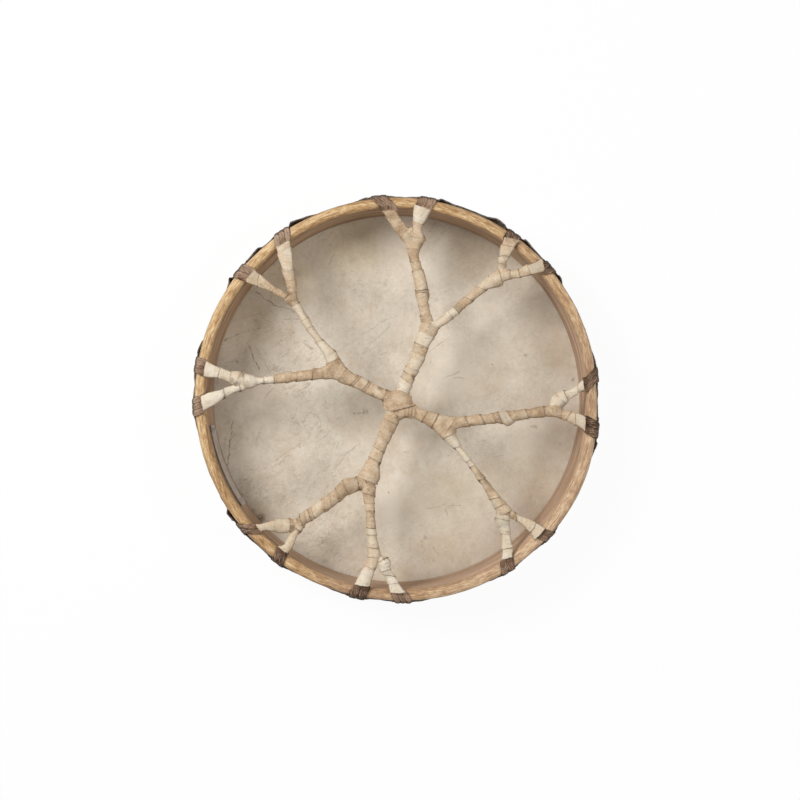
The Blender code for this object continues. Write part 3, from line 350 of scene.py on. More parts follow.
# Scratches in the hide: from and to in millimetres, width, strength
HIDE_MARKS = [
    ((-153.7, 58.5), (-141.2, 30.0), 0.75, 0.85), ((-143.7, 50.4), (-130.6, 27.8), 0.52, 0.7),
    ((-144.2, 109.8), (-124.9, 96.5), 0.68, 0.85), ((-124.9, 96.5), (-104.8, 89.6), 0.6, 0.65),
    ((-168.6, -24.0), (-171.0, -42.9), 0.68, 0.65), ((-171.0, -42.9), (-173.9, -72.9), 0.75, 0.78),
    ((-171.0, -42.9), (-166.3, -36.6), 0.68, 0.7), ((-177.3, 59.8), (-163.7, 67.1), 0.83, 0.56),
    ((-43.7, -14.9), (-32.4, -12.9), 1.12, 0.59), ((-123.8, -63.9), (-109.2, -51.3), 0.6, 0.37),
    ((-109.2, -51.3), (-96.6, -45.0), 0.52, 0.32), ((-63.1, -64.9), (-37.9, -46.0), 0.52, 0.32),
    ((-21.1, 60.8), (-7.5, 74.5), 0.52, 0.43), ((-34.8, 46.2), (-21.1, 60.8), 0.45, 0.39),
    ((48.0, 21.0), (64.8, 27.3), 0.52, 0.4), ((31.3, -113.1), (50.1, -108.9), 0.52, 0.4),
    ((50.1, -108.9), (52.2, -121.5), 0.52, 0.37), ((-135.4, 2.2), (-123.8, 12.6), 0.6, 0.39),
    ((-102.9, -8.3), (-106.0, -20.9), 0.52, 0.28), ((-94.7, -31.2), (-97.1, -23.5), 0.6, 0.28),
    ((-97.1, -23.5), (-93.9, -16.3), 0.6, 0.28), ((-93.9, -16.3), (-87.0, -13.8), 0.6, 0.28),
    ((-87.0, -13.8), (-80.6, -17.6), 0.6, 0.28), ((-80.6, -17.6), (-78.5, -25.4), 0.6, 0.28),
    ((-78.5, -25.4), (-81.4, -31.7), 0.6, 0.28), ((-13.0, 79.7), (-25.5, 72.4), 0.55, 0.34),
    ((-25.5, 72.4), (-35.9, 65.2), 0.5, 0.31), ((-0.6, 86.0), (-13.0, 79.7), 0.5, 0.31),
    ((-97.2, 56.9), (-86.8, 52.7), 0.6, 0.46), ((-115.9, 81.8), (-100.3, 81.8), 0.55, 0.37),
    ((-68.1, -74.0), (-54.6, -62.6), 0.6, 0.24), ((-54.6, -62.6), (-43.1, -50.1), 0.6, 0.26),
    ((-127.3, -69.9), (-110.7, -58.4), 0.6, 0.3), ((-146.0, -51.2), (-139.7, -34.5), 0.6, 0.32),
    ((-158.4, -73.0), (-146.0, -73.0), 0.6, 0.28), ((-157.4, -83.4), (-153.2, -83.4), 0.7, 0.37),
    ((-162.6, -96.9), (-152.2, -101.0), 0.7, 0.28), ((-139.7, -32.5), (-135.6, -28.3), 0.6, 0.32),
    ((59.7, 22.6), (70.1, 20.5), 0.5, 0.34), ((76.3, 36.1), (84.6, 38.2), 0.5, 0.31),
    ((51.4, 61.0), (34.8, 48.6), 0.6, 0.34), ((53.5, -111.4), (51.4, -119.7), 0.5, 0.34),
    ((52.4, -110.4), (65.9, -109.3), 0.5, 0.37), ((37.9, -153.0), (42.0, -159.2), 0.7, 0.4),
    ((99.2, -60.5), (109.5, -58.4), 0.5, 0.37), ((26.5, -146.7), (27.5, -153.0), 0.7, 0.4),
    ((-164.7, 67.1), (-152.8, 69.5), 0.5, 0.4), ((-152.8, 69.5), (-140.9, 72.1), 0.5, 0.4),
    ((-140.9, 72.1), (-132.5, 73.7), 0.5, 0.4), ((-137.3, 82.6), (-128.9, 78.8), 0.5, 0.45),
    ((-117.0, 81.4), (-100.3, 82.6), 0.5, 0.35), ((-27.6, 82.6), (-26.1, 98.1), 0.45, 0.3),
    ((-69.3, 139.8), (-64.5, 149.4), 0.7, 0.4), ((-147.4, -48.4), (-142.6, -40.7), 0.5, 0.32),
    ((-142.6, -40.7), (-140.3, -30.5), 0.5, 0.32), ((-82.4, -77.6), (-74.1, -72.9), 0.5, 0.28),
    ((-74.1, -72.9), (-68.1, -68.7), 0.5, 0.28), ((-128.9, -71.7), (-121.8, -67.5), 0.5, 0.35),
    ((-121.8, -67.5), (-115.8, -62.4), 0.5, 0.35), ((-102.7, -49.0), (-95.5, -47.8), 0.5, 0.24),
    ((-95.5, -47.8), (-89.6, -35.9), 0.5, 0.24), ((-59.8, -66.3), (-53.8, -59.7), 0.5, 0.28),
    ((-53.8, -59.7), (-44.3, -52.6), 0.5, 0.28),
]
# Rows of fine wrinkles in the hide, drawn as painted shade in their creases: turn, shift of the pattern, fineness
# along and across, strength
HIDE_WRINKLES = [
    (-0.62, 0.0, 36, 150, 0.48), (-0.28, 0.3, 44, 130, 0.40), (-1.10, 0.7, 34, 110, 0.30), (0.55, 0.9, 50, 150, 0.26),
]
# Spots on the hide: middle in millimetres, radius, strength
HIDE_SPOTS = [
    ((-141.1, -122.6), 7.1, 0.82), ((-147.9, -115.2), 4.1, 0.4), ((-159.5, 22.1), 3.6, 0.45),
    ((-95.5, 58.8), 2.7, 0.42), ((181.7, 20.0), 2.2, 0.55), ((135.0, 46.2), 1.8, 0.45), ((-67.2, 49.3), 3.1, 0.34),
    ((54.3, -57.6), 2.4, 0.36), ((-23.2, -96.4), 1.6, 0.4), ((142.4, -28.2), 1.8, 0.4), ((11.4, -54.4), 2.7, 0.28),
    ((117.2, -30.3), 1.8, 0.35), ((133.4, 45.4), 1.6, 0.5), ((140.7, 37.1), 1.2, 0.4), ((182.3, 19.5), 1.8, 0.7),
    ((-7.8, -96.9), 1.5, 0.45), ((8.8, -55.3), 2.4, 0.35), ((139.7, -28.3), 1.4, 0.45), ((155.3, -37.7), 1.0, 0.4),
    ((130.3, -53.2), 1.2, 0.35), ((-105.5, 68.3), 2.0, 0.35), ((-164.7, 38.2), 3.4, 0.45),
    ((-32.4, -12.9), 3.0, 0.42), ((-43.7, -14.9), 2.6, 0.4), ((-167.8, 10.1), 1.6, 0.4), ((38.9, -166.5), 2.6, 0.3),
    ((28.5, -143.6), 2.2, 0.3),
]
# Broad brown and pale places on the hide, partly stains and partly painted shade (under the hub, near the rim) and
# painted light: middle in millimetres, radius, strength, brown above 0 and pale below
HIDE_CLOUDS = [
    ((-118, 62), 44, 0.3), ((-14, 160), 30, 0.28), ((-36, -22), 30, 0.34), ((56, 20), 36, -0.34),
    ((46, 138), 26, -0.42), ((-10, -106), 24, -0.26), ((142, -46), 28, -0.16), ((172, -16), 24, 0.22),
    ((-160, -58), 32, -0.14), ((-136, 106), 26, 0.26), ((84, 140), 22, 0.2), ((-69, 111), 26, 0.26),
    ((-62, -88), 40, 0.1), ((160, 40), 26, 0.12), ((-62, 62), 26, -0.16), ((99, 69), 42, -0.24),
    ((57, 52), 30, -0.14), ((10, -114), 42, -0.26), ((88, 158), 22, 0.32), ((-145, 35), 22, 0.26),
    ((-121, -29), 26, 0.18), ((-162, 66), 20, -0.14), ((30, -33), 22, 0.2), ((76, -84), 28, 0.24),
    ((40, -53), 24, 0.14), ((134, -48), 22, -0.14), ((123, -102), 16, -0.2), ((4, 59), 20, 0.2),
    ((-171, -74), 20, -0.3),
]
# Where the hide gets a warm tint, partly yellowing and partly painted warm light bounced off the hoop's wall onto the
# shaded hide near the top and left rim: middle in millimetres, radius, strength
HIDE_WARM_TINT = [
    ((-48, 160), 42, 1.0), ((-110, 128), 40, 0.75), ((-158, 84), 40, 0.75), ((76, 152), 38, 0.42),
    ((40, -104), 50, 0.45), ((136, -76), 44, 0.3), ((124, 56), 40, 0.18),
]


# Modelling helpers

def clear_selection():
    """Nothing selected, so that an operator acts on the new piece alone."""
    bpy.ops.object.select_all(action="DESELECT")


def take_up(*pieces):
    """These pieces selected and no others, the first of them active."""
    clear_selection()
    for piece in pieces:
        piece.select_set(True)
    bpy.context.view_layer.objects.active = pieces[0]


def named(name):
    """The piece just made, under its own name."""
    piece = bpy.context.object
    piece.name = piece.data.name = name
    return piece


def join(name, pieces):
    """Several pieces made one."""
    take_up(*pieces)
    bpy.ops.object.join()
    return named(name)


def flat_strip(name, along, across):
    """A flat unit grid to lay out: x runs along the strip from 0 to 1, y across it."""
    clear_selection()
    bpy.ops.mesh.primitive_grid_add(x_subdivisions=along, y_subdivisions=across, size=1, location=(0.5, 0.5, 0))
    bpy.ops.object.transform_apply(location=True)
    return named(name)


def plain_tube(name, along, around):
    """A capped cylinder of unit radius and length, with rings cut along it."""
    clear_selection()
    bpy.ops.mesh.primitive_cylinder_add(vertices=around, radius=1, depth=1, location=(0, 0, 0.5))
    bpy.ops.object.transform_apply(location=True)
    tube = named(name)
    bpy.ops.object.mode_set(mode="EDIT")
    bpy.ops.mesh.select_all(action="DESELECT")
    bpy.ops.object.mode_set(mode="OBJECT")
    points = tube.data.vertices
    for edge in tube.data.edges:
        a, b = (points[i].co.z for i in edge.vertices)
        edge.select = abs(a - b) > 0.5
    bpy.ops.object.mode_set(mode="EDIT")
    bpy.ops.mesh.select_mode(type="EDGE")
    bpy.ops.mesh.subdivide(number_cuts=along - 1)
    bpy.ops.object.mode_set(mode="OBJECT")
    return tube


def points_of(piece):
    places = np.empty(len(piece.data.vertices) * 3)
    piece.data.vertices.foreach_get("co", places)
    return places.reshape(-1, 3)


def place_points(piece, places):
    piece.data.vertices.foreach_set("co", np.asarray(places, dtype=float).ravel())
    piece.data.update()


def scale_uv(piece, length, width, rows=None):
    """Lays the strip's UV map out in metres, as along and across it; rows gives uneven rows their true places."""
    layer = piece.data.uv_layers[0]
    layer.name = "laid_flat"
    uv = np.empty(len(layer.data) * 2)
    layer.data.foreach_get("uv", uv)
    uv = uv.reshape(-1, 2)
    across = uv[:, 1] * width if rows is None else np.interp(uv[:, 1], np.linspace(0, 1, len(rows)), rows)
    layer.data.foreach_set("uv", np.column_stack([uv[:, 0] * length, across]).ravel())


def mark(piece, name, values):
    """Keeps one number for each point, for the material to read."""
    layer = piece.data.attributes.new(name, "FLOAT", "POINT")
    layer.data.foreach_set("value", np.asarray(values, dtype=float))


def apply_modifier(piece, kind, **values):
    take_up(piece)
    modifier = piece.modifiers.new(kind.lower(), kind)
    for key, value in values.items():
        setattr(modifier, key, value)
    bpy.ops.object.modifier_apply(modifier=modifier.name)


def in_edit_mode(piece, *steps):
    """Runs mesh operators on the whole of a piece."""
    take_up(piece)
    bpy.ops.object.mode_set(mode="EDIT")
    bpy.ops.mesh.select_all(action="SELECT")
    for operator, values in steps:
        operator(**values)
    bpy.ops.object.mode_set(mode="OBJECT")


def merge(piece, distance=1e-6):
    in_edit_mode(piece, (bpy.ops.mesh.remove_doubles, {"threshold": distance}))


def face_outwards(piece):
    in_edit_mode(piece, (bpy.ops.mesh.normals_make_consistent, {"inside": False}))


def turn_over(piece):
    in_edit_mode(piece, (bpy.ops.mesh.flip_normals, {}))


def smooth(piece, angle=50):
    take_up(piece)
    bpy.ops.object.shade_smooth_by_angle(angle=math.radians(angle))


def keep(piece, finish, slot, *nodes):
    """Gives a piece its finish, and puts it in the frame in place of the nodes it stands for."""
    piece.data.materials.clear()
    piece.data.materials.append(finish)
    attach(piece, "root")
    if nodes:
        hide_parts(*nodes)


def rough(places, scale, seed=0.0):
    """Smooth noise from -1 to 1 at each place; scale is in metres."""
    shift = Vector((seed * 7.13, seed * 3.71, seed * 1.97))
    return np.array([noise.noise(Vector(p) / scale + shift) for p in places])


def heading(bearing):
    """The level direction at a bearing in degrees."""
    a = np.radians(bearing)
    return np.stack([np.cos(a), np.sin(a), np.zeros_like(a)], axis=-1)


def ease(t):
    """From 0 to 1 with a soft start and end."""
    t = np.clip(t, 0, 1)
    return t * t * (3 - 2 * t)


# Finishes

class Finish:
    """A procedural material, with its nodes added one by one."""

    def __init__(self, name):
        self.material = bpy.data.materials.new(name)
        self.material.use_nodes = True
        self.nodes = self.material.node_tree.nodes
        self.links = self.material.node_tree.links
        self.shader = self.nodes["Principled BSDF"]

    def put(self, value, socket):
        if isinstance(value, bpy.types.NodeSocket):
            self.links.new(value, socket)
        elif isinstance(value, tuple) and len(value) == 3 and socket.type == "RGBA":
            socket.default_value = (*value, 1)
        else:
            socket.default_value = value

    def node(self, kind, out=0, settings=None, **inputs):
        n = self.nodes.new("ShaderNode" + kind)
        for key, value in (settings or {}).items():
            setattr(n, key, value)
        for key, value in inputs.items():
            self.put(value, n.inputs[int(key[1:])] if key[1:].isdigit() else n.inputs[key.replace("_", " ")])
        return n.outputs[out]

    def object_place(self, scale=(1, 1, 1), turn=0.0, shift=(0, 0, 0)):
        place = self.node("TexCoord", 3)
        return self.node("Mapping", Vector=place, Scale=scale, Rotation=(0, 0, turn), Location=shift)

    def turned_place(self, turn, scale, shift=(0, 0, 0)):
        """The place turned first and stretched after, for a pattern that runs askew."""
        return self.node("Mapping", Vector=self.object_place(turn=turn, shift=shift), Scale=scale)

    def strip_place(self, scale=(1, 1, 1), turn=0.0):
        place = self.node("UVMap", settings={"uv_map": "laid_flat"})
        if turn:
            place = self.node("Mapping", Vector=place, Rotation=(0, 0, turn))
        return self.node("Mapping", Vector=place, Scale=scale)

    def attribute(self, name):
        return self.node("Attribute", 2, {"attribute_name": name})

    def noise(self, place, scale, detail=3.0, rough=0.5, distort=0.0):
        return self.node("TexNoise", Vector=place, Scale=scale, Detail=detail, Roughness=rough, Distortion=distort)

    def span(self, value, low, high, to_low=0.0, to_high=1.0):
        """Takes the range low to high to another, and stops at its ends."""
        return self.node("MapRange", Value=value, From_Min=low, From_Max=high, To_Min=to_low, To_Max=to_high)

    def fade(self, value, low, high, strength):
        """Full strength up to low, falling softly to nothing at high."""
        return self.node("MapRange", settings={"interpolation_type": "SMOOTHSTEP", "clamp": False}, Value=value,
                         From_Min=low, From_Max=high, To_Min=strength, To_Max=0.0)

    def sum(self, a, b):
        return self.node("Math", settings={"operation": "ADD"}, _0=a, _1=b)

    def times(self, a, b):
        return self.node("Math", settings={"operation": "MULTIPLY"}, _0=a, _1=b)

    def lines(self, value, width):
        """Thin lines where a pattern passes its middle value."""
        off = self.node("Math", settings={"operation": "ABSOLUTE"}, _0=self.sum(value, -0.5))
        return self.span(off, width * 0.2, width, 1.0, 0.0)

    def blend(self, share, a, b, way="MIX"):
        return self.node("Mix", 2, {"data_type": "RGBA", "blend_type": way}, _0=share, _6=a, _7=b)

    def ramp(self, value, *stops):
        n = self.nodes.new("ShaderNodeValToRGB")
        self.put(value, n.inputs[0])
        band = n.color_ramp
        while len(band.elements) < len(stops):
            band.elements.new(0.5)
        for element, (at, colour) in zip(band.elements, stops):
            element.position = at
            element.color = (*colour, 1)
        return n.outputs[0]

    def bump(self, height, strength, distance, under=None):
        normal = {"Normal": under} if under is not None else {}
        return self.node("Bump", Height=height, Strength=strength, Distance=distance, **normal)

    def set(self, **inputs):
        for key, value in inputs.items():
            self.put(value, self.shader.inputs[key.replace("_", " ")])
        return self.material


def wound_rawhide(name):
    """Dried rawhide strip: tint changing from turn to turn, wrinkles round the arm with painted shade in their
    creases, stains, some of them painted shade, and painted shade along each turn's lapped edge and down the arm's
    sides.
    """
    f = Finish(name)
    place = f.object_place()
    streak = f.noise(f.strip_place((70, 700, 1)), 1.0, 4, 0.65)
    cloud = f.noise(place, 130, 4, 0.6)
    grime = f.noise(place, 260, 4, 0.65)
    tone = f.sum(f.attribute("tone"), f.span(cloud, 0.36, 0.64, -0.17, 0.17))
    tone = f.sum(tone, f.span(streak, 0.25, 0.75, -0.08, 0.08))
    tone = f.sum(tone, f.span(f.noise(place, 560, 2, 0.6), 0.35, 0.65, -0.10, 0.10))
    colour = f.ramp(tone, (0.0, (0.215, 0.136, 0.076)), (0.25, (0.435, 0.300, 0.182)), (0.45, (0.585, 0.428, 0.278)),
                    (0.70, (0.690, 0.565, 0.408)), (1.0, (0.780, 0.690, 0.555)))
    warm = f.noise(f.object_place(shift=(0.4, 0.3, 0.0)), 70, 3, 0.5)
    colour = f.blend(f.span(warm, 0.52, 0.70, 0.0, 0.35), colour, (0.600, 0.400, 0.225))
    grey = f.noise(f.object_place(shift=(0.2, 0.1, 0.0)), 80, 3, 0.55)
    colour = f.blend(f.span(grey, 0.55, 0.70, 0.0, 0.32), colour, (0.500, 0.440, 0.335))
    colour = f.blend(f.span(grime, 0.58, 0.70, 0.0, 0.50), colour, (0.290, 0.180, 0.098))
    # Brown stains, partly real stains and partly painted shade in holes under loops and on shaded sides.
    brown_stain_and_shade = f.times(f.attribute("stain"), f.span(grime, 0.35, 0.60, 0.55, 1.0))
    colour = f.blend(brown_stain_and_shade, colour, (0.205, 0.120, 0.060))
    grey_stain = f.times(f.attribute("greyed"), f.span(grime, 0.30, 0.60, 0.35, 1.0))
    colour = f.blend(grey_stain, colour, (0.455, 0.395, 0.305))
    folds = f.noise(f.strip_place((55, 420, 1)), 1.0, 3, 0.6, 0.8)
    # Painted shade in the creases of the strip's folds.
    wrinkle = f.times(f.lines(folds, 0.035), f.span(cloud, 0.42, 0.60, 0.0, 0.30))
    colour = f.blend(wrinkle, colour, (0.190, 0.112, 0.058))
    # Painted shade: a dark line along each turn's lapped edge stands in for the shadow under it, stronger where the
    # turn is marked bold.
    edge = f.sum(f.attribute("edge"), f.span(grime, 0.3, 0.7, -0.30, 0.30))
    here = f.times(f.attribute("bold"),
                   f.span(f.noise(f.object_place(shift=(0.7, 0.2, 0.1)), 95, 2, 0.5), 0.36, 0.56, 0.25, 1.0))
    colour = f.blend(f.times(f.span(edge, 0.15, 1.00, 0.92, 0.0), here), colour, (0.110, 0.060, 0.030))
    # Painted shade down the arm's sides, where the surface turns away from the light.
    side = f.times(f.span(f.attribute("flank"), 0.38, 1.0, 0.0, 0.88), f.span(cloud, 0.30, 0.60, 0.45, 1.0))
    colour = f.blend(side, colour, (0.170, 0.102, 0.056))
    fine = f.noise(place, 1100, 3, 0.6)
    normal = f.bump(f.noise(place, 170, 4, 0.6), 0.45, 0.0015)
    normal = f.bump(folds, 0.40, 0.0012, normal)
    normal = f.bump(streak, 0.20, 0.0008, normal)
    normal = f.bump(fine, 0.22, 0.0004, normal)
    return f.set(Base_Color=colour, Roughness=f.span(cloud, 0.3, 0.7, 0.52, 0.72), Normal=normal,
                 Specular_IOR_Level=0.3)


def fibrous_lace(name):
    """Brown lace of dried hide: coarse pale and dark fibres along it, painted shade in the gaps between its strands,
    and nearly black where it turns over the hoop's outer edge.
    """
    f = Finish(name)
    fibre = f.noise(f.strip_place((110, 640, 1), 0.30), 1.0, 5, 0.75)
    patch = f.noise(f.object_place(), 190, 4, 0.65)
    tone = f.sum(f.attribute("tone"), f.span(fibre, 0.30, 0.70, -0.42, 0.42))
    tone = f.sum(tone, f.span(patch, 0.3, 0.7, -0.24, 0.24))
    colour = f.ramp(tone, (0.0, (0.030, 0.0165, 0.009)), (0.35, (0.123, 0.067, 0.039)), (0.65, (0.234, 0.138, 0.085)),
                    (1.0, (0.424, 0.292, 0.200)))
    hair = f.noise(f.strip_place((110, 900, 1), -0.35), 1.0, 3, 0.6, 0.4)
    colour = f.blend(f.span(hair, 0.56, 0.66, 0.0, 0.72), colour, (0.470, 0.350, 0.258))
    colour = f.blend(f.span(hair, 0.44, 0.35, 0.0, 0.80), colour, (0.032, 0.018, 0.011))
    # Painted shade: dark lines along each strand's sides, in the gaps between strands.
    strand_gap_shade = f.span(f.attribute("edge"), 0.0, 0.7, 0.70, 0.0)
    colour = f.blend(strand_gap_shade, colour, (0.028, 0.016, 0.010))
    # Nearly black where the lace turns over the hoop's outer edge.
    dark_outer_turn = f.times(f.attribute("dark_outer_turn"), f.span(patch, 0.30, 0.60, 1.0, 0.70))
    colour = f.blend(dark_outer_turn, colour, (0.022, 0.014, 0.010))
    normal = f.bump(fibre, 0.85, 0.0011)
    normal = f.bump(hair, 0.45, 0.0007, normal)
    normal = f.bump(f.noise(f.object_place(), 700, 3, 0.6), 0.3, 0.0005, normal)
    return f.set(Base_Color=colour, Roughness=f.span(fibre, 0.3, 0.7, 0.66, 0.86), Normal=normal,
                 Specular_IOR_Level=0.18)


def bent_wood(name):
    """Golden lath: short flecked grain, pale and dark streaks, pores, a pinkish stretch, a browner inner wall, and
    painted shade at the wall's foot and along the rounded outer edge.
    """
    f = Finish(name)
    grain = f.noise(f.strip_place((85, 850, 1)), 1.0, 5, 0.72, 0.3)
    broad = f.noise(f.strip_place((6, 220, 1)), 1.0, 4, 0.6, 0.5)
    fleck = f.noise(f.strip_place((150, 1700, 1)), 1.0, 3, 0.6)
    along = f.noise(f.strip_place((30, 60, 1)), 1.0, 3, 0.6)
    figure = f.noise(f.strip_place((95, 260, 1)), 1.0, 3, 0.6, 0.5)
    tone = f.sum(f.sum(f.times(grain, 0.36), f.times(broad, 0.20)), f.sum(f.times(fleck, 0.24), f.times(along, 0.12)))
    tone = f.sum(f.sum(tone, f.times(figure, 0.16)), f.attribute("tone"))
    colour = f.ramp(tone, (0.450, (0.215, 0.106, 0.042)), (0.510, (0.405, 0.229, 0.097)),
                    (0.547, (0.540, 0.337, 0.156)), (0.604, (0.775, 0.565, 0.315)))
    pale = f.attribute("pale")
    colour = f.blend(f.span(pale, 0.0, 1.0, 0.0, 0.55), colour,
                     f.ramp(tone, (0.450, (0.345, 0.212, 0.135)), (0.547, (0.565, 0.388, 0.264)),
                            (0.622, (0.775, 0.615, 0.462))))
    late = f.noise(f.strip_place((9, 560, 1)), 1.0, 3, 0.6, 1.0)
    streaked = f.times(f.span(late, 0.60, 0.69, 0.0, 0.60), f.span(pale, 0.2, 1.0, 1.0, 0.45))
    colour = f.blend(streaked, colour, (0.200, 0.100, 0.042))
    shine = f.noise(f.strip_place((75, 950, 1)), 1.0, 3, 0.6, 0.4)
    colour = f.blend(f.span(shine, 0.57, 0.70, 0.0, 0.66), colour, (0.825, 0.645, 0.405))
    ring = f.noise(f.strip_place((14, 420, 1)), 1.0, 5, 0.7, 0.6)
    depth = f.sum(f.sum(f.times(broad, 0.30), f.times(ring, 0.46)),
                  f.times(f.noise(f.strip_place((3, 70, 1)), 1.0, 3, 0.55), 0.26))
    wall = f.ramp(depth, (0.425, (0.168, 0.094, 0.051)), (0.51, (0.366, 0.234, 0.147)),
                  (0.605, (0.610, 0.432, 0.292)))
    wall = f.blend(pale, wall, f.ramp(depth, (0.425, (0.265, 0.163, 0.101)), (0.51, (0.490, 0.330, 0.225)),
                                      (0.605, (0.735, 0.555, 0.412))))
    height = f.node("SeparateXYZ", 2, Vector=f.object_place())
    # Painted shade at the foot of the inner wall, where it meets the hide, strongest on the pale stretch.
    foot = f.times(f.span(height, 0.004, 0.036, 0.40, 0.0), f.span(pale, 0.0, 1.0, 0.3, 1.0))
    wall = f.blend(foot, wall, (0.200, 0.115, 0.072))
    colour = f.blend(f.span(f.attribute("inner"), 0.0, 1.0, 0.0, 0.94), colour, wall)
    pore = f.noise(f.strip_place((190, 1500, 1)), 1.0, 2, 0.5)
    colour = f.blend(f.span(pore, 0.63, 0.73, 0.0, 0.60), colour, (0.150, 0.080, 0.038))
    knock = f.noise(f.object_place(), 160, 3, 0.6)
    knocked = f.times(f.span(knock, 0.62, 0.72, 0.0, 0.45), f.span(grain, 0.4, 0.6))
    colour = f.blend(knocked, colour, (0.200, 0.112, 0.056))
    # Painted shade along the hoop's rounded outer edge.
    outer_edge_shade = f.times(f.span(f.attribute("outer_edge_shade"), 0.0, 1.0, 0.0, 0.90), f.span(along, 0.3, 0.6, 0.5, 1.0))
    colour = f.blend(outer_edge_shade, colour, (0.150, 0.082, 0.042))
    normal = f.bump(grain, 0.40, 0.0007)
    normal = f.bump(late, 0.25, 0.0006, normal)
    return f.set(Base_Color=colour, Roughness=f.span(fleck, 0.3, 0.7, 0.46, 0.66), Normal=normal,
                 Specular_IOR_Level=0.35)


def stretched_hide(name):
    """Rawhide head: cloudy grey-beige, brown and yellow places that are partly stains and partly painted shade, light
    and bounce light, painted shade in fine wrinkles, scratches, specks and a dark edge.
    """
    f = Finish(name)
    place = f.object_place()
    bent = f.node("Mix", 1, {"data_type": "VECTOR"}, _0=0.010, _4=place,
                  _5=f.node("TexNoise", 1, Vector=place, Scale=60.0, Detail=3.0))
    cloud = f.noise(place, 9, 5, 0.6, 0.6)
    mottle = f.noise(place, 42, 5, 0.65)
    paper = f.noise(place, 260, 4, 0.65)
    grit = f.noise(place, 620, 3, 0.65)
    tone = f.sum(f.sum(f.sum(f.times(cloud, 0.32), 0.06), f.times(grit, 0.15)),
                 f.sum(f.times(mottle, 0.28), f.times(paper, 0.20)))
    colour = f.ramp(tone, (0.40, (0.520, 0.446, 0.352)), (0.49, (0.635, 0.556, 0.448)), (0.56, (0.712, 0.634, 0.522)),
                    (0.65, (0.790, 0.724, 0.622)))
    warm = f.noise(f.object_place(shift=(0.31, 0.12, 0)), 18, 5, 0.65, 0.8)
    colour = f.blend(f.span(warm, 0.50, 0.68, 0.0, 0.36), colour, (0.578, 0.438, 0.288))
    cool = f.noise(f.object_place(shift=(0.11, 0.42, 0)), 24, 4, 0.6)
    colour = f.blend(f.span(cool, 0.54, 0.70, 0.0, 0.22), colour, (0.480, 0.452, 0.407))
    rumpled = f.span(f.node("SeparateXYZ", Vector=place), -0.09, 0.06, 1.0, 0.45)
    # Painted shade in the creases of the wrinkle rows, most on the hide's left half.
    for turn, shift, along, across, strength in HIDE_WRINKLES:
        row = f.noise(f.turned_place(turn, (along, across, 1), (shift, shift, 0)), 1.0, 5, 0.66, 0.9)
        patch = f.noise(f.object_place(shift=(shift * 3, 0.2, 0)), 15, 3, 0.6)
        gap = f.noise(f.object_place(shift=(0.2, shift, 0)), 120, 2, 0.5)
        share = f.times(f.times(f.lines(row, 0.017), f.span(patch, 0.51, 0.60, 0.0, strength * 1.2)),
                        f.span(gap, 0.43, 0.55, 0.0, 1.0))
        colour = f.blend(f.times(share, rumpled), colour, (0.215, 0.138, 0.078))
    speck = f.node("TexVoronoi", Vector=bent, Scale=75.0)
    chosen = f.node("TexVoronoi", 1, Vector=bent, Scale=75.0)
    few = f.span(f.node("SeparateColor", Color=chosen), 0.78, 0.86, 0.0, 1.0)
    colour = f.blend(f.times(f.span(speck, 0.04, 0.11, 0.50, 0.0), few), colour, (0.190, 0.125, 0.080))
    wobble = f.node("Mix", 1, {"data_type": "VECTOR"}, _0=0.008, _4=place,
                    _5=f.node("TexNoise", 1, Vector=place, Scale=110.0, Detail=4.0, Roughness=0.6))
    moved = f.node("VectorMath", settings={"operation": "SUBTRACT"}, _0=wobble, _1=(0.004, 0.004, 0.0))
    flat = f.node("VectorMath", settings={"operation": "MULTIPLY"}, _0=moved, _1=(1.0, 1.0, 0.0))
    broken = f.span(f.noise(place, 210, 3, 0.6), 0.36, 0.56, 0.30, 1.0)
    # Broad brown and pale places: partly stains, partly painted shade and painted light.
    cloudy = f.times(f.attribute("cloudy"), f.span(warm, 0.3, 0.7, 0.5, 1.5))
    colour = f.blend(f.span(cloudy, 0.0, 1.0, 0.0, 1.0), colour, (0.365, 0.280, 0.185))
    colour = f.blend(f.span(cloudy, -1.0, 0.0, 1.0, 0.0), colour, (0.835, 0.765, 0.650))
    # Warm tint: partly yellowing, partly painted warm light bounced off the hoop's wall.
    colour = f.blend(f.attribute("warm_tint"), colour, (1.0, 0.955, 0.845), "MULTIPLY")
    for start, end, width, strength in HIDE_MARKS:
        near = distance_to_line(f, flat, start, end)
        line = f.fade(near, width * 0.0001, width * 0.0014, strength)
        colour = f.blend(f.times(line, broken), colour, (0.190, 0.116, 0.064))
    uneven = f.span(mottle, 0.3, 0.7, -0.001, 0.001)
    for middle, size, strength in HIDE_SPOTS:
        near = f.node("VectorMath", 1, {"operation": "DISTANCE"}, _0=flat,
                      _1=(middle[0] / 1000, middle[1] / 1000, 0.0))
        spot = f.fade(f.sum(near, uneven), size * 0.0002, size * 0.0011, strength)
        colour = f.blend(f.times(spot, broken), colour, (0.150, 0.090, 0.052))
    dark = f.span(f.sum(f.attribute("edge"), f.span(mottle, 0.3, 0.7, -5.0, 5.0)), 1.5, 15.0, 1.0, 0.0)
    dark = f.times(dark, f.span(paper, 0.35, 0.60, 0.72, 1.0))
    colour = f.blend(dark, colour, (0.040, 0.024, 0.016))
    normal = f.bump(mottle, 0.26, 0.0015)
    normal = f.bump(paper, 0.20, 0.0006, normal)
    return f.set(Base_Color=colour, Roughness=f.span(mottle, 0.3, 0.7, 0.52, 0.68), Normal=normal,
                 Specular_IOR_Level=0.3)


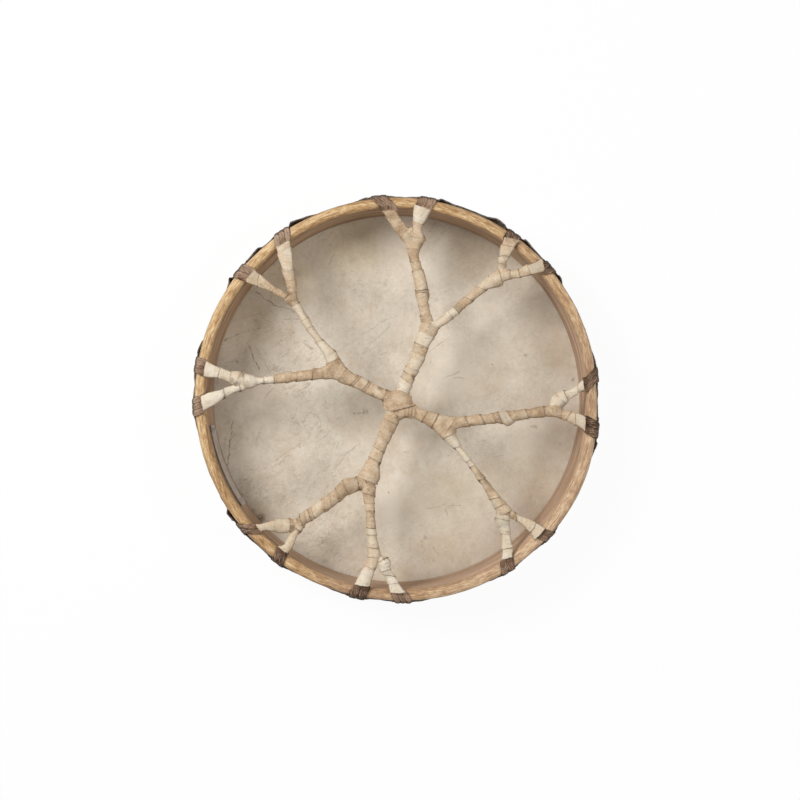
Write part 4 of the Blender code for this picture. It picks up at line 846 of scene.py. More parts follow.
def distance_to_line(f, place, start, end):
    """How far each point is from a straight line between two places given in millimetres."""
    a = (start[0] / 1000, start[1] / 1000, 0.0)
    run = ((end[0] - start[0]) / 1000, (end[1] - start[1]) / 1000, 0.0)
    square = run[0] ** 2 + run[1] ** 2
    out = f.node("VectorMath", settings={"operation": "SUBTRACT"}, _0=place, _1=a)
    along = f.node("VectorMath", 1, {"operation": "DOT_PRODUCT"}, _0=out, _1=(run[0] / square, run[1] / square, 0.0))
    share = f.node("Math", settings={"operation": "MAXIMUM"}, _0=along, _1=0.0)
    share = f.node("Math", settings={"operation": "MINIMUM"}, _0=share, _1=1.0)
    scaled = f.nodes.new("ShaderNodeVectorMath")
    scaled.operation = "SCALE"
    scaled.inputs[0].default_value = run
    f.put(share, scaled.inputs[3])
    return f.node("VectorMath", 1, {"operation": "DISTANCE"}, _0=out, _1=scaled.outputs[0])


def dull_steel(name, light, shade, edges=None):
    """Thin grey metal, brushed along, stained and gone dull; where its edges are given, painted shade along its top
    edge, darker towards its lower end, and rusty patches.
    """
    f = Finish(name)
    brushed = f.noise(f.object_place((40, 40, 1600)), 1.0, 3, 0.6)
    stain = f.noise(f.object_place(), 140, 4, 0.6)
    colour = f.ramp(f.sum(f.times(brushed, 0.5), f.times(stain, 0.5)), (0.38, shade), (0.62, light))
    if edges:
        height = f.node("SeparateXYZ", 2, Vector=f.object_place())
        low, high = edges
        # Painted shade of the gap along the strip's top edge.
        top = f.times(f.span(height, high - 0.0034, high - 0.0012), f.span(stain, 0.3, 0.6, 0.5, 0.95))
        colour = f.blend(top, colour, (0.105, 0.070, 0.050))
        # Darker towards the strip's lower end.
        foot = f.times(f.span(height, low + 0.0100, low + 0.0020), f.span(stain, 0.3, 0.6, 0.4, 0.85))
        colour = f.blend(foot, colour, (0.150, 0.105, 0.080))
        rust = f.noise(f.object_place((60, 60, 260), shift=(0.3, 0.1, 0.0)), 1.0, 4, 0.65)
        colour = f.blend(f.span(rust, 0.54, 0.68, 0.0, 0.6), colour, (0.205, 0.128, 0.098))
    normal = f.bump(brushed, 0.2, 0.0003)
    return f.set(Base_Color=colour, Metallic=0.40, Roughness=f.span(stain, 0.3, 0.7, 0.42, 0.62), Normal=normal)


# Hoop

def spread(piece):
    """Brings a piece out of round with the hand-bent hoop, most at its back edge."""
    places = points_of(piece)
    r = np.maximum(np.hypot(places[:, 0], places[:, 1]), 1e-6)
    bearing = np.degrees(np.arctan2(places[:, 1], places[:, 0])) % 360
    table = np.array(HOOP_SPREAD)
    share = 0.62 * ease((r - 0.150) / 0.035) + 0.38 * ease((r - 0.189) / 0.011)
    out = np.interp(bearing, table[:, 0], table[:, 1]) / 1000 * share
    out *= np.clip(places[:, 2] / HOOP_TOP, 0, 1)
    places[:, :2] *= (1 + out / r)[:, None]
    place_points(piece, places)


def make_hoop():
    """The lath bent round: its section drawn out along a flat grid, rolled up to a ring and capped at the scarf."""
    corner = np.radians(np.linspace(0, 90, 9))

    def bend(r, z, radius, start):
        return [(r + radius * math.cos(a + start), z + radius * math.sin(a + start)) for a in corner]

    section = bend(HOOP_RADIUS - FRONT_EDGE, HOOP_BOTTOM + FRONT_EDGE, FRONT_EDGE, math.radians(-90))
    section += [(HOOP_RADIUS, z) for z in np.linspace(0.010, 0.052, 6)]
    section += bend(HOOP_RADIUS - BACK_EDGE, HOOP_TOP - BACK_EDGE, BACK_EDGE, 0)
    section += bend(HOOP_INSIDE + BACK_EDGE, HOOP_TOP - BACK_EDGE, BACK_EDGE, math.radians(90))
    section += [(HOOP_INSIDE, z) for z in np.linspace(0.052, 0.010, 6)]
    section += bend(HOOP_INSIDE + FRONT_EDGE, HOOP_BOTTOM + FRONT_EDGE, FRONT_EDGE, math.radians(180))
    section.append(section[0])
    section = np.array(section)
    hoop = flat_strip("hoop_bent_wood", HOOP_STEPS, len(section) - 1)
    flat = points_of(hoop)
    row = np.rint(flat[:, 1] * (len(section) - 1)).astype(int)
    r, z = section[row].T
    lap = math.degrees(SCARF_LAP / HOOP_RADIUS)
    skew = np.maximum(0, np.maximum(1 - flat[:, 0] / SCARF_RUN, 1 - (1 - flat[:, 0]) / SCARF_RUN))
    depth = (r - HOOP_INSIDE) / (HOOP_RADIUS - HOOP_INSIDE) - 0.5
    bearing = SCARF_BEARING + lap * depth * skew + (360 - SCARF_GAP) * flat[:, 0]
    ring = heading(bearing)
    wave = rough(ring, 0.35, 1)
    wall = rough(ring, 0.12, 2)
    back = ease((z - 0.03) / 0.03)
    r = r + 0.0005 * back * wave * (depth < 0) + 0.0003 * wall * back
    z = z + 0.00018 * wall * back
    place_points(hoop, ring * r[:, None] + UP * z[:, None])
    steps = np.linalg.norm(np.diff(section, axis=0), axis=1)
    scale_uv(hoop, 2 * math.pi * HOOP_RADIUS, steps.sum(), np.concatenate([[0], np.cumsum(steps)]))
    mark(hoop, "inner", ease((-depth - 0.32) / 0.16) * ease((HOOP_TOP - 0.0025 - z) / 0.004))
    mark(hoop, "pale", ease(0.35 + 0.65 * np.cos(np.radians(bearing - PALE_BEARING)) + 0.25 * wave))
    shift = np.array(HOOP_TONE)
    mark(hoop, "tone", np.interp(bearing % 360, shift[:, 0], shift[:, 1]))
    # Where the painted shade along the hoop's rounded outer edge falls.
    mark(hoop, "outer_edge_shade", ease((depth - 0.24) / 0.22) * ease((HOOP_TOP - 0.0004 - z) / 0.0030))
    merge(hoop)
    in_edit_mode(hoop, (bpy.ops.mesh.fill_holes, {"sides": 0}))
    spread(hoop)
    face_outwards(hoop)
    smooth(hoop)
    keep(hoop, bent_wood("bent_wood"), "bent_wood", "hoop")


# Head

def off_lace(bearing):
    """How far along the hoop each bearing is from the nearest lace, in metres."""
    outer = np.array([RIM[i][1] for i in RIM])
    turn = (bearing[:, None] - outer[None, :] + 180) % 360 - 180
    return np.min(np.abs(turn), axis=1) * math.radians(1) * HOOP_RADIUS


def soft_patches(places, patches):
    """How strong a table's soft round patches are at each place on the hide."""
    total = np.zeros(len(places))
    for middle, size, strength in patches:
        near = np.hypot(places[:, 0] * 1000 - middle[0], places[:, 1] * 1000 - middle[1])
        total += strength * ease((1.2 * size - near) / size)
    return total


def make_head():
    """One hide: flat face, fold round the front edge, and a skirt up the hoop with a scalloped edge and slits."""
    around, face_rings, fold_rings, skirt_rings = 720, 27, 7, 34
    rings = face_rings + fold_rings + skirt_rings
    head = flat_strip("drumhead_hide", around, rings)
    flat = points_of(head)
    bearing = 360 * flat[:, 0]
    row = np.rint(flat[:, 1] * rings)
    away = off_lace(bearing)
    flank = STRAP_WIDTH / 2 + 0.0009
    shoulder = flank + 0.007
    ring = heading(bearing)
    ragged = rough(ring, 0.030, 5) * 0.0016 + rough(ring, 0.008, 6) * 0.0006
    lumps = np.array(HIDE_LUMPS)
    stand = np.interp(bearing % 360, lumps[:, 0], lumps[:, 1]) / 1000 * ease((away - flank) / 0.004)
    dip = ease((away - shoulder) / 0.018) * (1 - 0.9 * ease(stand / 0.0018))
    edge_z = TAB_TOP - SKIRT_DIP * dip + ragged * (0.3 + 0.7 * dip) + np.minimum(stand, 0.004) * 1.1
    start = HIDE_OUTSIDE - HIDE_FOLD
    on_face = np.clip(row / face_rings, 0, 1)
    on_fold = np.clip((row - face_rings) / fold_rings, 0, 1)
    on_skirt = np.clip((row - face_rings - fold_rings) / skirt_rings, 0, 1)
    turn = on_fold * math.pi / 2
    r = np.where(row <= face_rings, start * on_face ** 0.8, start + HIDE_FOLD * np.sin(turn))
    z = HIDE_FOLD * (1 - np.cos(turn))
    skirt_z = HIDE_FOLD + (edge_z - HIDE_FOLD) * on_skirt
    z = np.where(on_skirt > 0, skirt_z, z)
    tucked = ease((z - (TAIL_Z - 0.011)) / 0.010)
    bulge = TUCK_BULGE * ease((shoulder - away) / (shoulder - flank)) * tucked
    pleat = rough(np.stack([bearing / 360 * 1.26, z * 0.25, 0 * z], axis=1), 0.011, 8) * 0.5 + 0.5
    curl = 0.0012 * ease((on_skirt - 0.72) / 0.28) * (0.4 + rough(ring, 0.05, 9)) * dip
    slack = 0.0011 * pleat * ease((on_skirt - 0.2) / 0.6)
    flare = stand * (0.75 + 0.5 * pleat) * ease((on_skirt - 0.35) / 0.45)
    r = np.where(on_skirt > 0, HIDE_OUTSIDE + np.maximum(bulge, flare) + slack + np.maximum(0, curl), r)
    places = ring * r[:, None] + UP * z[:, None]
    place_points(head, places)
    mark(head, "edge", np.where(on_skirt > 0, (edge_z - z) * 1000, 60.0))
    # The clouds are partly painted shade and light; the warm tint is partly painted bounce light from the wall.
    mark(head, "cloudy", soft_patches(places, HIDE_CLOUDS))
    mark(head, "warm_tint", soft_patches(places, HIDE_WARM_TINT))
    scale_uv(head, 2 * math.pi * HIDE_OUTSIDE, 0.25)
    cut_slits(head)
    merge(head)
    face_outwards(head)
    if head.data.polygons[0].normal.z > 0:
        turn_over(head)
    apply_modifier(head, "SOLIDIFY", thickness=HIDE, offset=-1)
    spread(head)
    smooth(head, 60)
    keep(head, stretched_hide("drumhead_rawhide"), "drumhead_rawhide", "drumhead")
    return head


def cut_slits(head):
    """Takes out the faces where each lace goes in through the hide."""
    half_width = STRAP_WIDTH / 2 + 0.0006
    take_up(head)
    bpy.ops.object.mode_set(mode="EDIT")
    bpy.ops.mesh.select_mode(type="FACE")
    bpy.ops.mesh.select_all(action="DESELECT")
    bpy.ops.object.mode_set(mode="OBJECT")
    outer = [heading(np.array(RIM[i][1])) for i in RIM]
    for face in head.data.polygons:
        c = np.array(face.center)
        if abs(c[2] - SLIT_Z) < SLIT_HALF_HEIGHT and np.hypot(c[0], c[1]) > HIDE_OUTSIDE - 0.001:
            for out in outer:
                if np.dot(c, out) > 0.15 and abs(np.cross(out[:2], c[:2])) < half_width:
                    face.select = True
    bpy.ops.object.mode_set(mode="EDIT")
    bpy.ops.mesh.delete(type="FACE")
    bpy.ops.object.mode_set(mode="OBJECT")


# Web

class Arm:
    """The middle line of one arm, with its half width and half height, by distance from its start."""

    def __init__(self, route, heights, flats, tangent=None):
        route = np.array(route, dtype=float) / 1000
        reach = np.concatenate([[0], np.cumsum(np.linalg.norm(np.diff(route[:, :2], axis=0), axis=1))])
        fine = np.linspace(0, reach[-1], max(12, round(reach[-1] / 0.001)))
        line = np.stack([np.interp(fine, reach, route[:, k]) for k in range(3)], axis=1)
        line = self.soften(line, 3, 2)
        self.reach = np.concatenate([[0], np.cumsum(np.linalg.norm(np.diff(line[:, :2], axis=0), axis=1))])
        self.length = self.reach[-1]
        share = self.reach / self.length
        z = heights[0] + (heights[1] - heights[0]) * ease(share)
        self.line = np.column_stack([line[:, :2], z])
        self.half_width = line[:, 2] / 2
        flat = flats[0] + (flats[1] - flats[0]) * ease(share)
        self.half_height = np.minimum(self.half_width * flat, THICKEST_ARM)
        way = np.gradient(self.soften(line[:, :2], 5, 2), axis=0)
        way /= np.linalg.norm(way, axis=1)[:, None]
        left = np.column_stack([-way[:, 1], way[:, 0]])
        if tangent is not None:
            share = ease((self.reach - self.length + 0.016) / 0.014)[:, None]
            left = left * (1 - share) + np.asarray(tangent) * share
            left /= np.linalg.norm(left, axis=1)[:, None]
        self.left = left
        self.way = way

    @staticmethod
    def soften(line, half, times):
        """Rounds off a line's corners, with its ends kept."""
        kernel = np.ones(2 * half + 1) / (2 * half + 1)
        for _ in range(times):
            padded = np.concatenate([2 * line[:1] - line[half:0:-1], line, 2 * line[-1:] - line[-2:-half - 2:-1]])
            line = np.stack([np.convolve(padded[:, k], kernel, "valid") for k in range(line.shape[1])], axis=1)
        return line

    def at(self, s):
        """(middle, left, half width, half height) at distances along the arm; it runs on straight past its ends."""
        inside = np.clip(s, 0, self.length)

        def pick(values):
            return np.interp(inside, self.reach, values)

        middle = np.stack([pick(self.line[:, k]) for k in range(3)], axis=1)
        way = np.stack([pick(self.way[:, 0]), pick(self.way[:, 1])], axis=1)
        middle[:, :2] += way * (s - inside)[:, None]
        left = np.stack([pick(self.left[:, 0]), pick(self.left[:, 1]), 0 * inside], axis=1)
        return middle, left, pick(self.half_width), pick(self.half_height)


def lay_out_arms():
    """Every arm, from the hub through its forks to the hoop."""
    trunks, branches, legs = {}, {}, {}
    for t, route in TRUNKS.items():
        trunks[t] = Arm([(*HUB, route[0][2]), *route], (WEB_Z, WEB_Z), TRUNK_FLATNESS)
        fork = route[-1]
        for b in (2 * t - 1, 2 * t):
            line = BRANCHES[b]
            branches[b] = Arm([(fork[0], fork[1], line[0][2]), *line], (WEB_Z, WEB_Z), BRANCH_FLATNESS)
            tip = line[-1]
            for leg in (2 * b - 1, 2 * b):
                inner, width, reach = RIM[leg][0], RIM[leg][2], LEG_REACH[leg]
                end = heading(np.array(float(inner))) * ((HOOP_INSIDE + 0.0008) * 1000 + reach)
                tangent = (-math.sin(math.radians(inner)), math.cos(math.radians(inner)))
                route_out = [(tip[0], tip[1], LEGS[leg][0][2]), *LEGS[leg], (end[0], end[1], width)]
                onto = max(0.0, reach) / 1000
                flatness = (LEG_FLATNESS[0], LEG_FLATNESS[1] - 12 * onto)
                legs[leg] = Arm(route_out, (WEB_Z, STRAP_Z + 0.0002 + 0.2 * onto), flatness, tangent)
    return trunks, branches, legs


def lump(name, middle, half):
    """A rounded swelling to melt into the web's inner layer."""
    clear_selection()
    bpy.ops.mesh.primitive_ico_sphere_add(subdivisions=3, radius=1)
    swelling = named(name)
    place_points(swelling, points_of(swelling) * half + middle)
    return swelling


def inner_layer(trunks, branches, legs):
    """The inner layer of the web: all arms as tubes with swollen forks and knots, melted into one smooth skin."""
    masses = []
    for arm in (*trunks.values(), *branches.values(), *legs.values()):
        tube = plain_tube("arm", max(6, int(arm.length / 0.0015)), 24)
        unit = points_of(tube)
        middle, left, wide, high = arm.at(unit[:, 2] * arm.length)
        across = np.maximum(wide - UNDER, 0.0012) * unit[:, 0]
        upward = np.maximum(high - UNDER * 0.7, 0.0009) * unit[:, 1]
        place_points(tube, middle + left * across[:, None] + UP * upward[:, None])
        masses.append(tube)
    for x, y, wide, high in KNOTS:
        masses.append(lump("knot", (x / 1000, y / 1000, WEB_Z + 0.0006), (wide / 1000, wide / 1000, high / 1000)))
    masses.append(lump("crossing", (HUB[0] / 1000, HUB[1] / 1000, WEB_Z), CROSSING_HALF))
    for arms, half in ((trunks, TRUNK_FORK_HALF), (branches, BRANCH_FORK_HALF)):
        masses += [lump("fork", arm.line[-1], half) for arm in arms.values()]
    core = join("web_inner_layer", masses)
    face_outwards(core)
    apply_modifier(core, "REMESH", mode="VOXEL", voxel_size=0.0008)
    apply_modifier(core, "SMOOTH", factor=0.5, iterations=8)
    return core


def drape(arm, tree, s, angle, sleeve):
    """Where the inner layer's skin lies each way from the arm's middle; past sleeve, the outermost skin counts."""
    middle, left, wide, high = arm.at(s)
    way = left * (wide * np.cos(angle))[:, None] + UP * (high * np.sin(angle))[:, None]
    out = np.linalg.norm(way, axis=1)
    way /= out[:, None]
    places = middle + way * (out - UNDER)[:, None]
    for i in range(len(s)):
        start, ray = Vector(middle[i]), Vector(way[i])
        if s[i] > sleeve:
            far = out[i] * 1.35 + 0.003
            hit = tree.ray_cast(start + ray * far, -ray, far)[0]
        else:
            hit, normal = tree.ray_cast(start, ray, out[i] + 0.004)[:2]
            if hit is not None and normal.dot(ray) < 0:
                hit = None
        if hit is not None:
            places[i] = hit
    return places, way


def stains_and_shade(places):
    """How brown and how grey the wrapping is stained at each place; some of the brown is painted shade."""
    brown, grey = np.zeros(len(places)), np.zeros(len(places))
    for x, y, size, strength in WRAP_STAINS_AND_SHADE:
        near = np.hypot(places[:, 0] * 1000 - x, places[:, 1] * 1000 - y) / size
        share = abs(strength) * ease(1.5 - near)
        if strength > 0:
            brown = np.maximum(brown, share)
        else:
            grey = np.maximum(grey, share)
    return brown, grey


def mark_wrap(piece, places, tone, edge, bold, flank):
    """Keeps what the wound rawhide's finish reads at each point."""
    brown, grey = stains_and_shade(places)
    marks = {"tone": tone, "edge": edge, "bold": bold, "flank": flank, "stain": brown, "greyed": grey}
    for name, values in marks.items():
        mark(piece, name, np.broadcast_to(np.asarray(values, dtype=float), len(places)))


def wind(name, arm, tree, bands, hand, seed, sleeve=1.0):
    """One rawhide strip wound on an arm over the inner layer, each turn's far edge lapped over the next turn."""
    start, turns = bands
    count = len(turns)
    line = np.array([start] + [b[0] for b in turns]) / 1000
    slant = np.array([turns[0][1]] + [b[1] for b in turns]) / 1000 * -hand
    over = np.arange(-3, 4) / 12
    knots = np.concatenate([k + over for k in range(count + 1)])
    edges = np.concatenate([e + d / 2 * np.sin(2 * math.pi * over) for e, d in zip(line, slant)])
    strip = flat_strip(name, count * TURN_STEPS, STRIP_ACROSS)
    flat = points_of(strip)
    turn, v = 0.5 + count * flat[:, 0], flat[:, 1]
    near = np.interp(turn - 1, knots, edges) - STRIP_LAP
    far = np.interp(turn, knots, edges)
    fray = rough(np.column_stack([turn * 3.1, 0 * v, 0 * v]), 1.0, seed + 3) * 0.0011
    fray += rough(np.column_stack([turn * 11.0, 0 * v, 0 * v]), 1.0, seed + 4) * 0.0004
    s = near + (far + fray - near) * v
    angle = hand * 2 * math.pi * turn + math.pi / 2
    places, way = drape(arm, tree, s, angle, sleeve)
    swell = rough(np.column_stack([np.rint(turn) * 2.3, 0 * v, 0 * v]), 1.0, seed + 5) * 0.00045
    lift = 0.0002 + (STRIP + 0.0005) * v + swell * np.sin(np.pi * np.clip(v * 1.1, 0, 1))
    crease = rough(places, 0.0038, 11) * 0.00042 + rough(places, 0.010, 12) * 0.00050
    places = places + way * np.maximum(lift + crease, 0.0001)[:, None]
    place_points(strip, places)
    around = 2 * math.pi * float(arm.half_width.mean()) * 0.85
    scale_uv(strip, count * around, float(np.mean(far - near)))
    tints = np.array([b[2] for b in turns])
    tone = np.interp(turn, np.concatenate([[k + 0.56, k + 1.44] for k in range(count)]), np.repeat(tints, 2))
    turn_ends = np.arange(count + 1)
    bold = [0.3] + [b[3] for b in turns]
    # The painted shade on the sides is stronger on the side facing lower right, away from the key light.
    shaded = 0.75 + 0.45 * (way @ (0.64, -0.77, 0.0))
    mark_wrap(strip, places, tone, np.minimum(v * 3, 1 - v) * (far - near) * 1000, np.interp(turn, turn_ends, bold),
              (1 - np.abs(np.sin(angle))) * shaded)
    apply_modifier(strip, "SMOOTH", factor=0.5, iterations=1)
    face = strip.data.polygons[len(strip.data.polygons) // 2]
    if face.normal.dot(Vector(way[face.vertices[0]])) < 0:
        turn_over(strip)
    apply_modifier(strip, "SOLIDIFY", thickness=STRIP, offset=1)
    smooth(strip, 60)
    return strip


def hub_layer(tree, outline, middle, side, height, tone, grooves=()):
    """One layer of the crossing's bandage, draped over the web from above or below inside its outline."""
    outline = np.array(outline)
    toward = outline[:, :2] - middle
    bearing = np.arctan2(toward[:, 1], toward[:, 0])
    order = np.argsort(bearing)
    around, rings = 108, 22
    fine = np.linspace(-math.pi, math.pi, around + 1)
    reach = np.interp(fine, bearing[order], np.linalg.norm(toward, axis=1)[order], period=2 * math.pi)
    crisp = np.interp(fine, bearing[order], outline[order, 2], period=2 * math.pi)
    reach = (np.roll(reach[:-1], 1) + 2 * reach[:-1] + np.roll(reach[:-1], -1)) / 4
    reach = np.append(reach, reach[0])
    patch = flat_strip("hub_layer", around, rings)
    flat = points_of(patch)
    column = np.rint(flat[:, 0] * around).astype(int)
    out = flat[:, 1]
    x = middle[0] + np.cos(fine[column]) * reach[column] * out
    y = middle[1] + np.sin(fine[column]) * reach[column] * out
    z = np.zeros(len(x))
    for i in range(len(x)):
        hit = tree.ray_cast(Vector((x[i] / 1000, y[i] / 1000, WEB_Z + side * 0.03)), Vector((0, 0, -side)), 0.03)
        z[i] = max(0.0, (hit[0].z - WEB_Z) * side) if hit[0] is not None else 0.0
    lie = height - (height - 0.0001) * ease((out - 0.62) / 0.38) * (1 - crisp[column])
    fold = np.zeros(len(x))
    for at, lean, wide, deep in grooves:
        fold += deep * np.exp(-((x - at - lean * (y - middle[1])) / wide) ** 2)
    groove = 0.0012 * np.clip(fold, -1, 1) * (1 - out ** 6)
    places = np.column_stack([x / 1000, y / 1000, WEB_Z + side * (z + lie - groove)])
    places[:, 2] += side * (rough(places, 0.005, 21) * 0.0003 + rough(places, 0.014, 22) * 0.0004) * (1 - out ** 4)
    place_points(patch, places)
    layer = patch.data.uv_layers[0]
    layer.name = "laid_flat"
    corner = np.empty(len(patch.data.loops), dtype=int)
    patch.data.loops.foreach_get("vertex_index", corner)
    layer.data.foreach_set("uv", places[corner, :2].ravel())
    rim = np.where(crisp[column] > 0.5, (1 - out) * reach[column], 9.0)
    # Painted shade: the tint darkens in the band's folds.
    tint = tone + 0.10 * rough(places, 0.012, 23) - 0.30 * np.maximum(fold, 0)
    mark_wrap(patch, places, tint, rim, crisp[column], 0.0)
    merge(patch)
    apply_modifier(patch, "SMOOTH", factor=0.5, iterations=2)

    def off_middle(face):
        return (face.center.x * 1000 - middle[0]) ** 2 + (face.center.y * 1000 - middle[1]) ** 2

    if min(patch.data.polygons, key=off_middle).normal.z * side < 0:
        turn_over(patch)
    apply_modifier(patch, "SOLIDIFY", thickness=BANDAGE, offset=-1)
    return patch


def make_hub(tree, finish):
    """The bandage over the crossing: a band bent round below it, and a broad patch above and one below."""
    hub = join("hub_bandage", [
        hub_layer(tree, HUB_BEND, BEND_MIDDLE, 1, 0.0017, 0.36, BEND_FOLDS),
        hub_layer(tree, HUB_PATCH, PATCH_MIDDLE, 1, 0.0026, 0.43),
        hub_layer(tree, HUB_PATCH, PATCH_MIDDLE, -1, 0.0018, 0.43),
    ])
    smooth(hub, 60)
    keep(hub, finish, "hub_rawhide", "hub_wrap")


def winding_hand(n):
    """The arms are wound right and left by turns."""
    return 1 if n % 2 else -1


def make_web():
    """The hand-hold: inner layer, wound arms and the bandage over the crossing."""
    trunks, branches, legs = lay_out_arms()
    core = inner_layer(trunks, branches, legs)
    tree = BVHTree.FromObject(core, bpy.context.evaluated_depsgraph_get())
    tan = wound_rawhide("tan_rawhide")
    middling = wound_rawhide("branch_rawhide")
    cream = wound_rawhide("pale_rawhide")
    for n, arm in trunks.items():
        strip = wind(f"trunk_winding_{n}", arm, tree, TRUNK_BANDS[n], winding_hand(n), 10 + n,
                     arm.length - TRUNK_SLEEVE)
        keep(strip, tan, "tan_rawhide", f"trunk_wrap_{n}")
    for n, arm in branches.items():
        strip = wind(f"branch_winding_{n}", arm, tree, BRANCH_BANDS[n], winding_hand(n), 30 + n,
                     arm.length - BRANCH_SLEEVE)
        keep(strip, middling, "branch_rawhide", f"branch_wrap_{n}")
    for n, arm in legs.items():
        strip = wind(f"leg_winding_{n:02d}", arm, tree, leg_bands(n, arm), winding_hand(n), 50 + n)
        spread(strip)
        keep(strip, cream, "pale_rawhide", f"leg_wrap_{n:02d}")
    make_hub(tree, wound_rawhide("hub_rawhide"))
    apply_modifier(core, "DECIMATE", ratio=0.4)
    spread(core)
    places = points_of(core)
    upright = np.array([abs(v.normal.z) for v in core.data.vertices])
    # The inner layer's steep sides get the same painted shade as the arms' sides.
    mark_wrap(core, places, 0.44 + 0.16 * rough(places, 0.016, 31), 3.0, 0.0, 1 - upright)
    core.data.uv_layers.new(name="laid_flat")
    smooth(core, 80)
    keep(core, middling, "branch_rawhide")
    return legs


def leg_bands(n, arm):
    """A leg's strip, with its last turn brought to the leg's own end."""
    start, turns = LEG_BANDS[n]
    end = arm.length * 1000 + 0.6
    turns = [b for b in turns if b[0] < end - 3]
    last = LEG_BANDS[n][1][-1]
    return start, turns + [(end, LEG_SLANT.get(n, 0.0), *last[2:])]


# Laces over the hoop

def strap_line():
    """The way of a lace in the upright plane: over the hoop, down, in at the slit and behind the hide."""
    bend = [math.radians(a) for a in np.linspace(90, 0, 9)]
    centre = HOOP_RADIUS - BACK_EDGE, HOOP_TOP - BACK_EDGE
    radius = STRAP_Z - centre[1]
    line = [(HOOP_INSIDE + 0.0005, STRAP_Z), (STRAP_FLAT_R, STRAP_Z)]
    line += [(centre[0] + radius * math.cos(a), centre[1] + radius * math.sin(a)) for a in bend]
    line += [(OUTER_R - 0.0012, STRAP_DROP_Z), (OUTER_R, STRAP_UPRIGHT_Z), (OUTER_R, SLIT_Z + 0.0022),
             (OUTER_R - 0.0005, SLIT_Z + 0.0013), (TUCKED_R + 0.0005, SLIT_Z - 0.0013),
             (TUCKED_R, SLIT_Z - 0.0022), (TUCKED_R, TAIL_Z)]
    return np.array(line)


def lace_path(arm, inner, outer, reach):
    """A lace's middle line, out of its leg's end and over the hoop, with its sideways and outward directions."""
    last = arm.length - 0.001 - max(0.0, reach)
    inside = arm.at(np.linspace(last - 0.013, last, 8))
    points, sides = list(inside[0]), list(inside[1])
    for r, z in strap_line():
        lean = np.clip((r - HOOP_INSIDE) / (HOOP_RADIUS - HOOP_INSIDE), 0, 1)
        a = math.radians(inner + (outer - inner) * lean)
        points.append(np.array((r * math.cos(a), r * math.sin(a), z)))
        sides.append(np.array((-math.sin(a), math.cos(a), 0)))
    points, sides = np.array(points), np.array(sides)
    reach = np.concatenate([[0], np.cumsum(np.linalg.norm(np.diff(points, axis=0), axis=1))])
    fine = np.linspace(0, reach[-1], STRAND_STEPS + 1)
    points = np.stack([np.interp(fine, reach, points[:, k]) for k in range(3)], axis=1)
    sides = np.stack([np.interp(fine, reach, sides[:, k]) for k in range(3)], axis=1)
    sides /= np.linalg.norm(sides, axis=1)[:, None]
    way = np.gradient(points, axis=0)
    normals = np.cross(way, sides)
    normals /= np.linalg.norm(normals, axis=1)[:, None]
    return points, sides, normals, fine


def make_straps(legs):
    """Each lace's flat strands, side by side over the hoop's back edge."""
    finish = fibrous_lace("lace_rawhide")
    for n, (inner, outer, leg_width, width, count) in RIM.items():
        reach = LEG_REACH[n] / 1000
        points, sides, normals, fine = lace_path(legs[n], inner, outer, reach)
        r = np.hypot(points[:, 0], points[:, 1])
        hidden = ease((HOOP_INSIDE + 0.0015 + min(0.0, reach) - r) / 0.004)
        down = ease((0.0560 - points[:, 2]) / 0.010) * (r > HOOP_INSIDE)
        breadth = width * (1 - hidden) + leg_width * 0.62 * hidden
        breadth = (breadth * (1 - down) + 1000 * STRAP_WIDTH * down) / 1000
        strands = []
        for k in range(count):
            strand = flat_strip("strand", STRAND_STEPS, STRAND_ACROSS)
            flat = points_of(strand)
            step = np.rint(flat[:, 0] * STRAND_STEPS).astype(int)
            across = (flat[:, 1] - 0.5) * 2
            seed = n * 3 + k
            share = (k + 0.5) / count - 0.5
            wander = rough(np.column_stack([flat[:, 0] * 6, 0 * across, 0 * across]), 1.0, seed) * 0.0007
            wander *= 1 - down[step]
            half = breadth[step] / count * 0.515
            offset = share * breadth[step] + across * half + wander
            raised = STRAP * (0.5 - 0.40 * np.abs(across) ** 3) + 0.00012 * k
            grain = rough(np.column_stack([offset * 800, fine[step] * 45, 0 * across]), 1.0, seed + 0.5) * 0.00028
            places = points[step] + sides[step] * offset[:, None] + normals[step] * (raised + grain)[:, None]
            place_points(strand, places)
            scale_uv(strand, fine[-1], float(half.mean() * 2))
            mark(strand, "edge", (1 - np.abs(across)) * half * 1000)
            mark(strand, "tone", STRAP_TONE[n] + 0.07 * (-1) ** k + 0.10 * rough(places, 0.006, seed))
            # Nearly black where the lace turns down over the hoop's outer edge, less so lower down.
            far_out = np.hypot(places[:, 0], places[:, 1]) + 0.0012 * rough(places, 0.004, seed + 0.3)
            cleaner = 1 - 0.75 * ease((STRAP_UPRIGHT_Z - places[:, 2]) / 0.0080)
            mark(strand, "dark_outer_turn", 0.95 * ease((far_out - 0.1996) / 0.0030) * cleaner)
            face = strand.data.polygons[OPEN_FACE]
            if face.normal.dot(Vector(normals[step[face.vertices[0]]])) < 0:
                turn_over(strand)
            apply_modifier(strand, "SOLIDIFY", thickness=STRAP * 0.8, offset=-1)
            strands.append(strand)
        strap = join(f"lace_strands_{n:02d}", strands)
        spread(strap)
        smooth(strap, 60)
        keep(strap, finish, "lace_rawhide", f"lace_{n:02d}")


# Metal strip over the scarf

def dress_metal():
    """The strip and the tacks' heads keep the frame's own shapes and get their metal."""
    low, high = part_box("joint_strip")
    strip = dull_steel("grey_metal", (0.660, 0.600, 0.540), (0.380, 0.330, 0.284), (low.z, high.z))
    heads = dull_steel("tack_metal", (0.660, 0.630, 0.590), (0.260, 0.225, 0.190))
    for name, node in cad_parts.items():
        if name == "joint_strip" or name.startswith("tack"):
            node.data.materials.clear()
            node.data.materials.append(strip if name == "joint_strip" else heads)


# Stage, light and camera

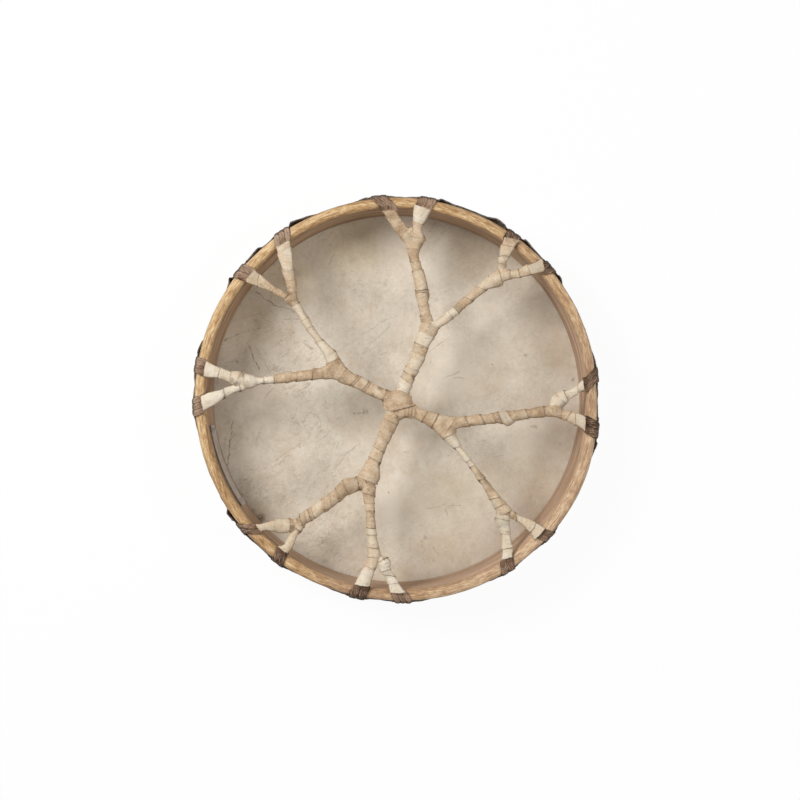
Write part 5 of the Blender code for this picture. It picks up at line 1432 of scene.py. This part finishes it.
def seen_directly(nodes, links):
    """1 where the camera, a shiny or a clear surface sees this, and 0 where it only lights the drum."""
    path = nodes.new("ShaderNodeLightPath")
    seen = path.outputs["Is Camera Ray"]
    for kind in ("Is Glossy Ray", "Is Transmission Ray"):
        either = nodes.new("ShaderNodeMath")
        either.operation = "MAXIMUM"
        links.new(seen, either.inputs[0])
        links.new(path.outputs[kind], either.inputs[1])
        seen = either.outputs[0]
    return seen


def lay_floor():
    """White paper that keeps the drum's shadow and looks white further off."""
    clear_selection()
    bpy.ops.mesh.primitive_plane_add(size=8, location=(0, 0, -0.0004))
    floor = named("floor")
    f = Finish("white_paper")
    f.set(Base_Color=(0.9, 0.9, 0.9), Roughness=0.9)
    seen = seen_directly(f.nodes, f.links)
    glow = f.node("Emission", Color=(1.0, 1.0, 1.0), Strength=1.0)
    far = f.node("VectorMath", 1, {"operation": "LENGTH"}, _0=f.object_place())
    share = f.times(seen, f.span(far, 0.45, 1.60, 0.93, 1.0))
    out = f.nodes["Material Output"]
    f.links.new(f.node("MixShader", _0=share, _1=f.shader.outputs[0], _2=glow), out.inputs[0])
    floor.data.materials.append(f.material)


def light_room():
    """A dim white room that looks white itself, with two softboxes in it."""
    world = bpy.data.worlds.new("soft_room")
    bpy.context.scene.world = world
    world.use_nodes = True
    nodes, links = world.node_tree.nodes, world.node_tree.links
    room, white = nodes["Background"], nodes.new("ShaderNodeBackground")
    for background, strength in ((room, ROOM_LIGHT), (white, 1.0)):
        background.inputs[0].default_value = (1, 1, 1, 1)
        background.inputs[1].default_value = strength
    seen = seen_directly(nodes, links)
    mixed = nodes.new("ShaderNodeMixShader")
    links.new(seen, mixed.inputs[0])
    links.new(room.outputs[0], mixed.inputs[1])
    links.new(white.outputs[0], mixed.inputs[2])
    links.new(mixed.outputs[0], nodes["World Output"].inputs[0])
    for name, (place, size, watts) in SOFTBOXES.items():
        lamp = bpy.data.lights.new(name, "AREA")
        lamp.shape = "DISK"
        lamp.size = size
        lamp.energy = watts
        o = bpy.data.objects.new(name, lamp)
        bpy.context.scene.collection.objects.link(o)
        o.location = place
        o.rotation_euler = (Vector(LIT_POINT) - Vector(place)).to_track_quat("-Z", "Y").to_euler()


def place_camera():
    """Straight above the open back."""
    camera = bpy.data.cameras.new("camera")
    camera.lens = CAMERA_LENS
    camera.sensor_width = CAMERA_SENSOR
    o = bpy.data.objects.new("camera", camera)
    bpy.context.scene.collection.objects.link(o)
    o.location = CAMERA_PLACE
    bpy.context.scene.camera = o
    bpy.context.scene.view_settings.view_transform = "Standard"


lay_floor()
light_room()
place_camera()
make_hoop()
head = make_head()
make_straps(make_web())
dress_metal()
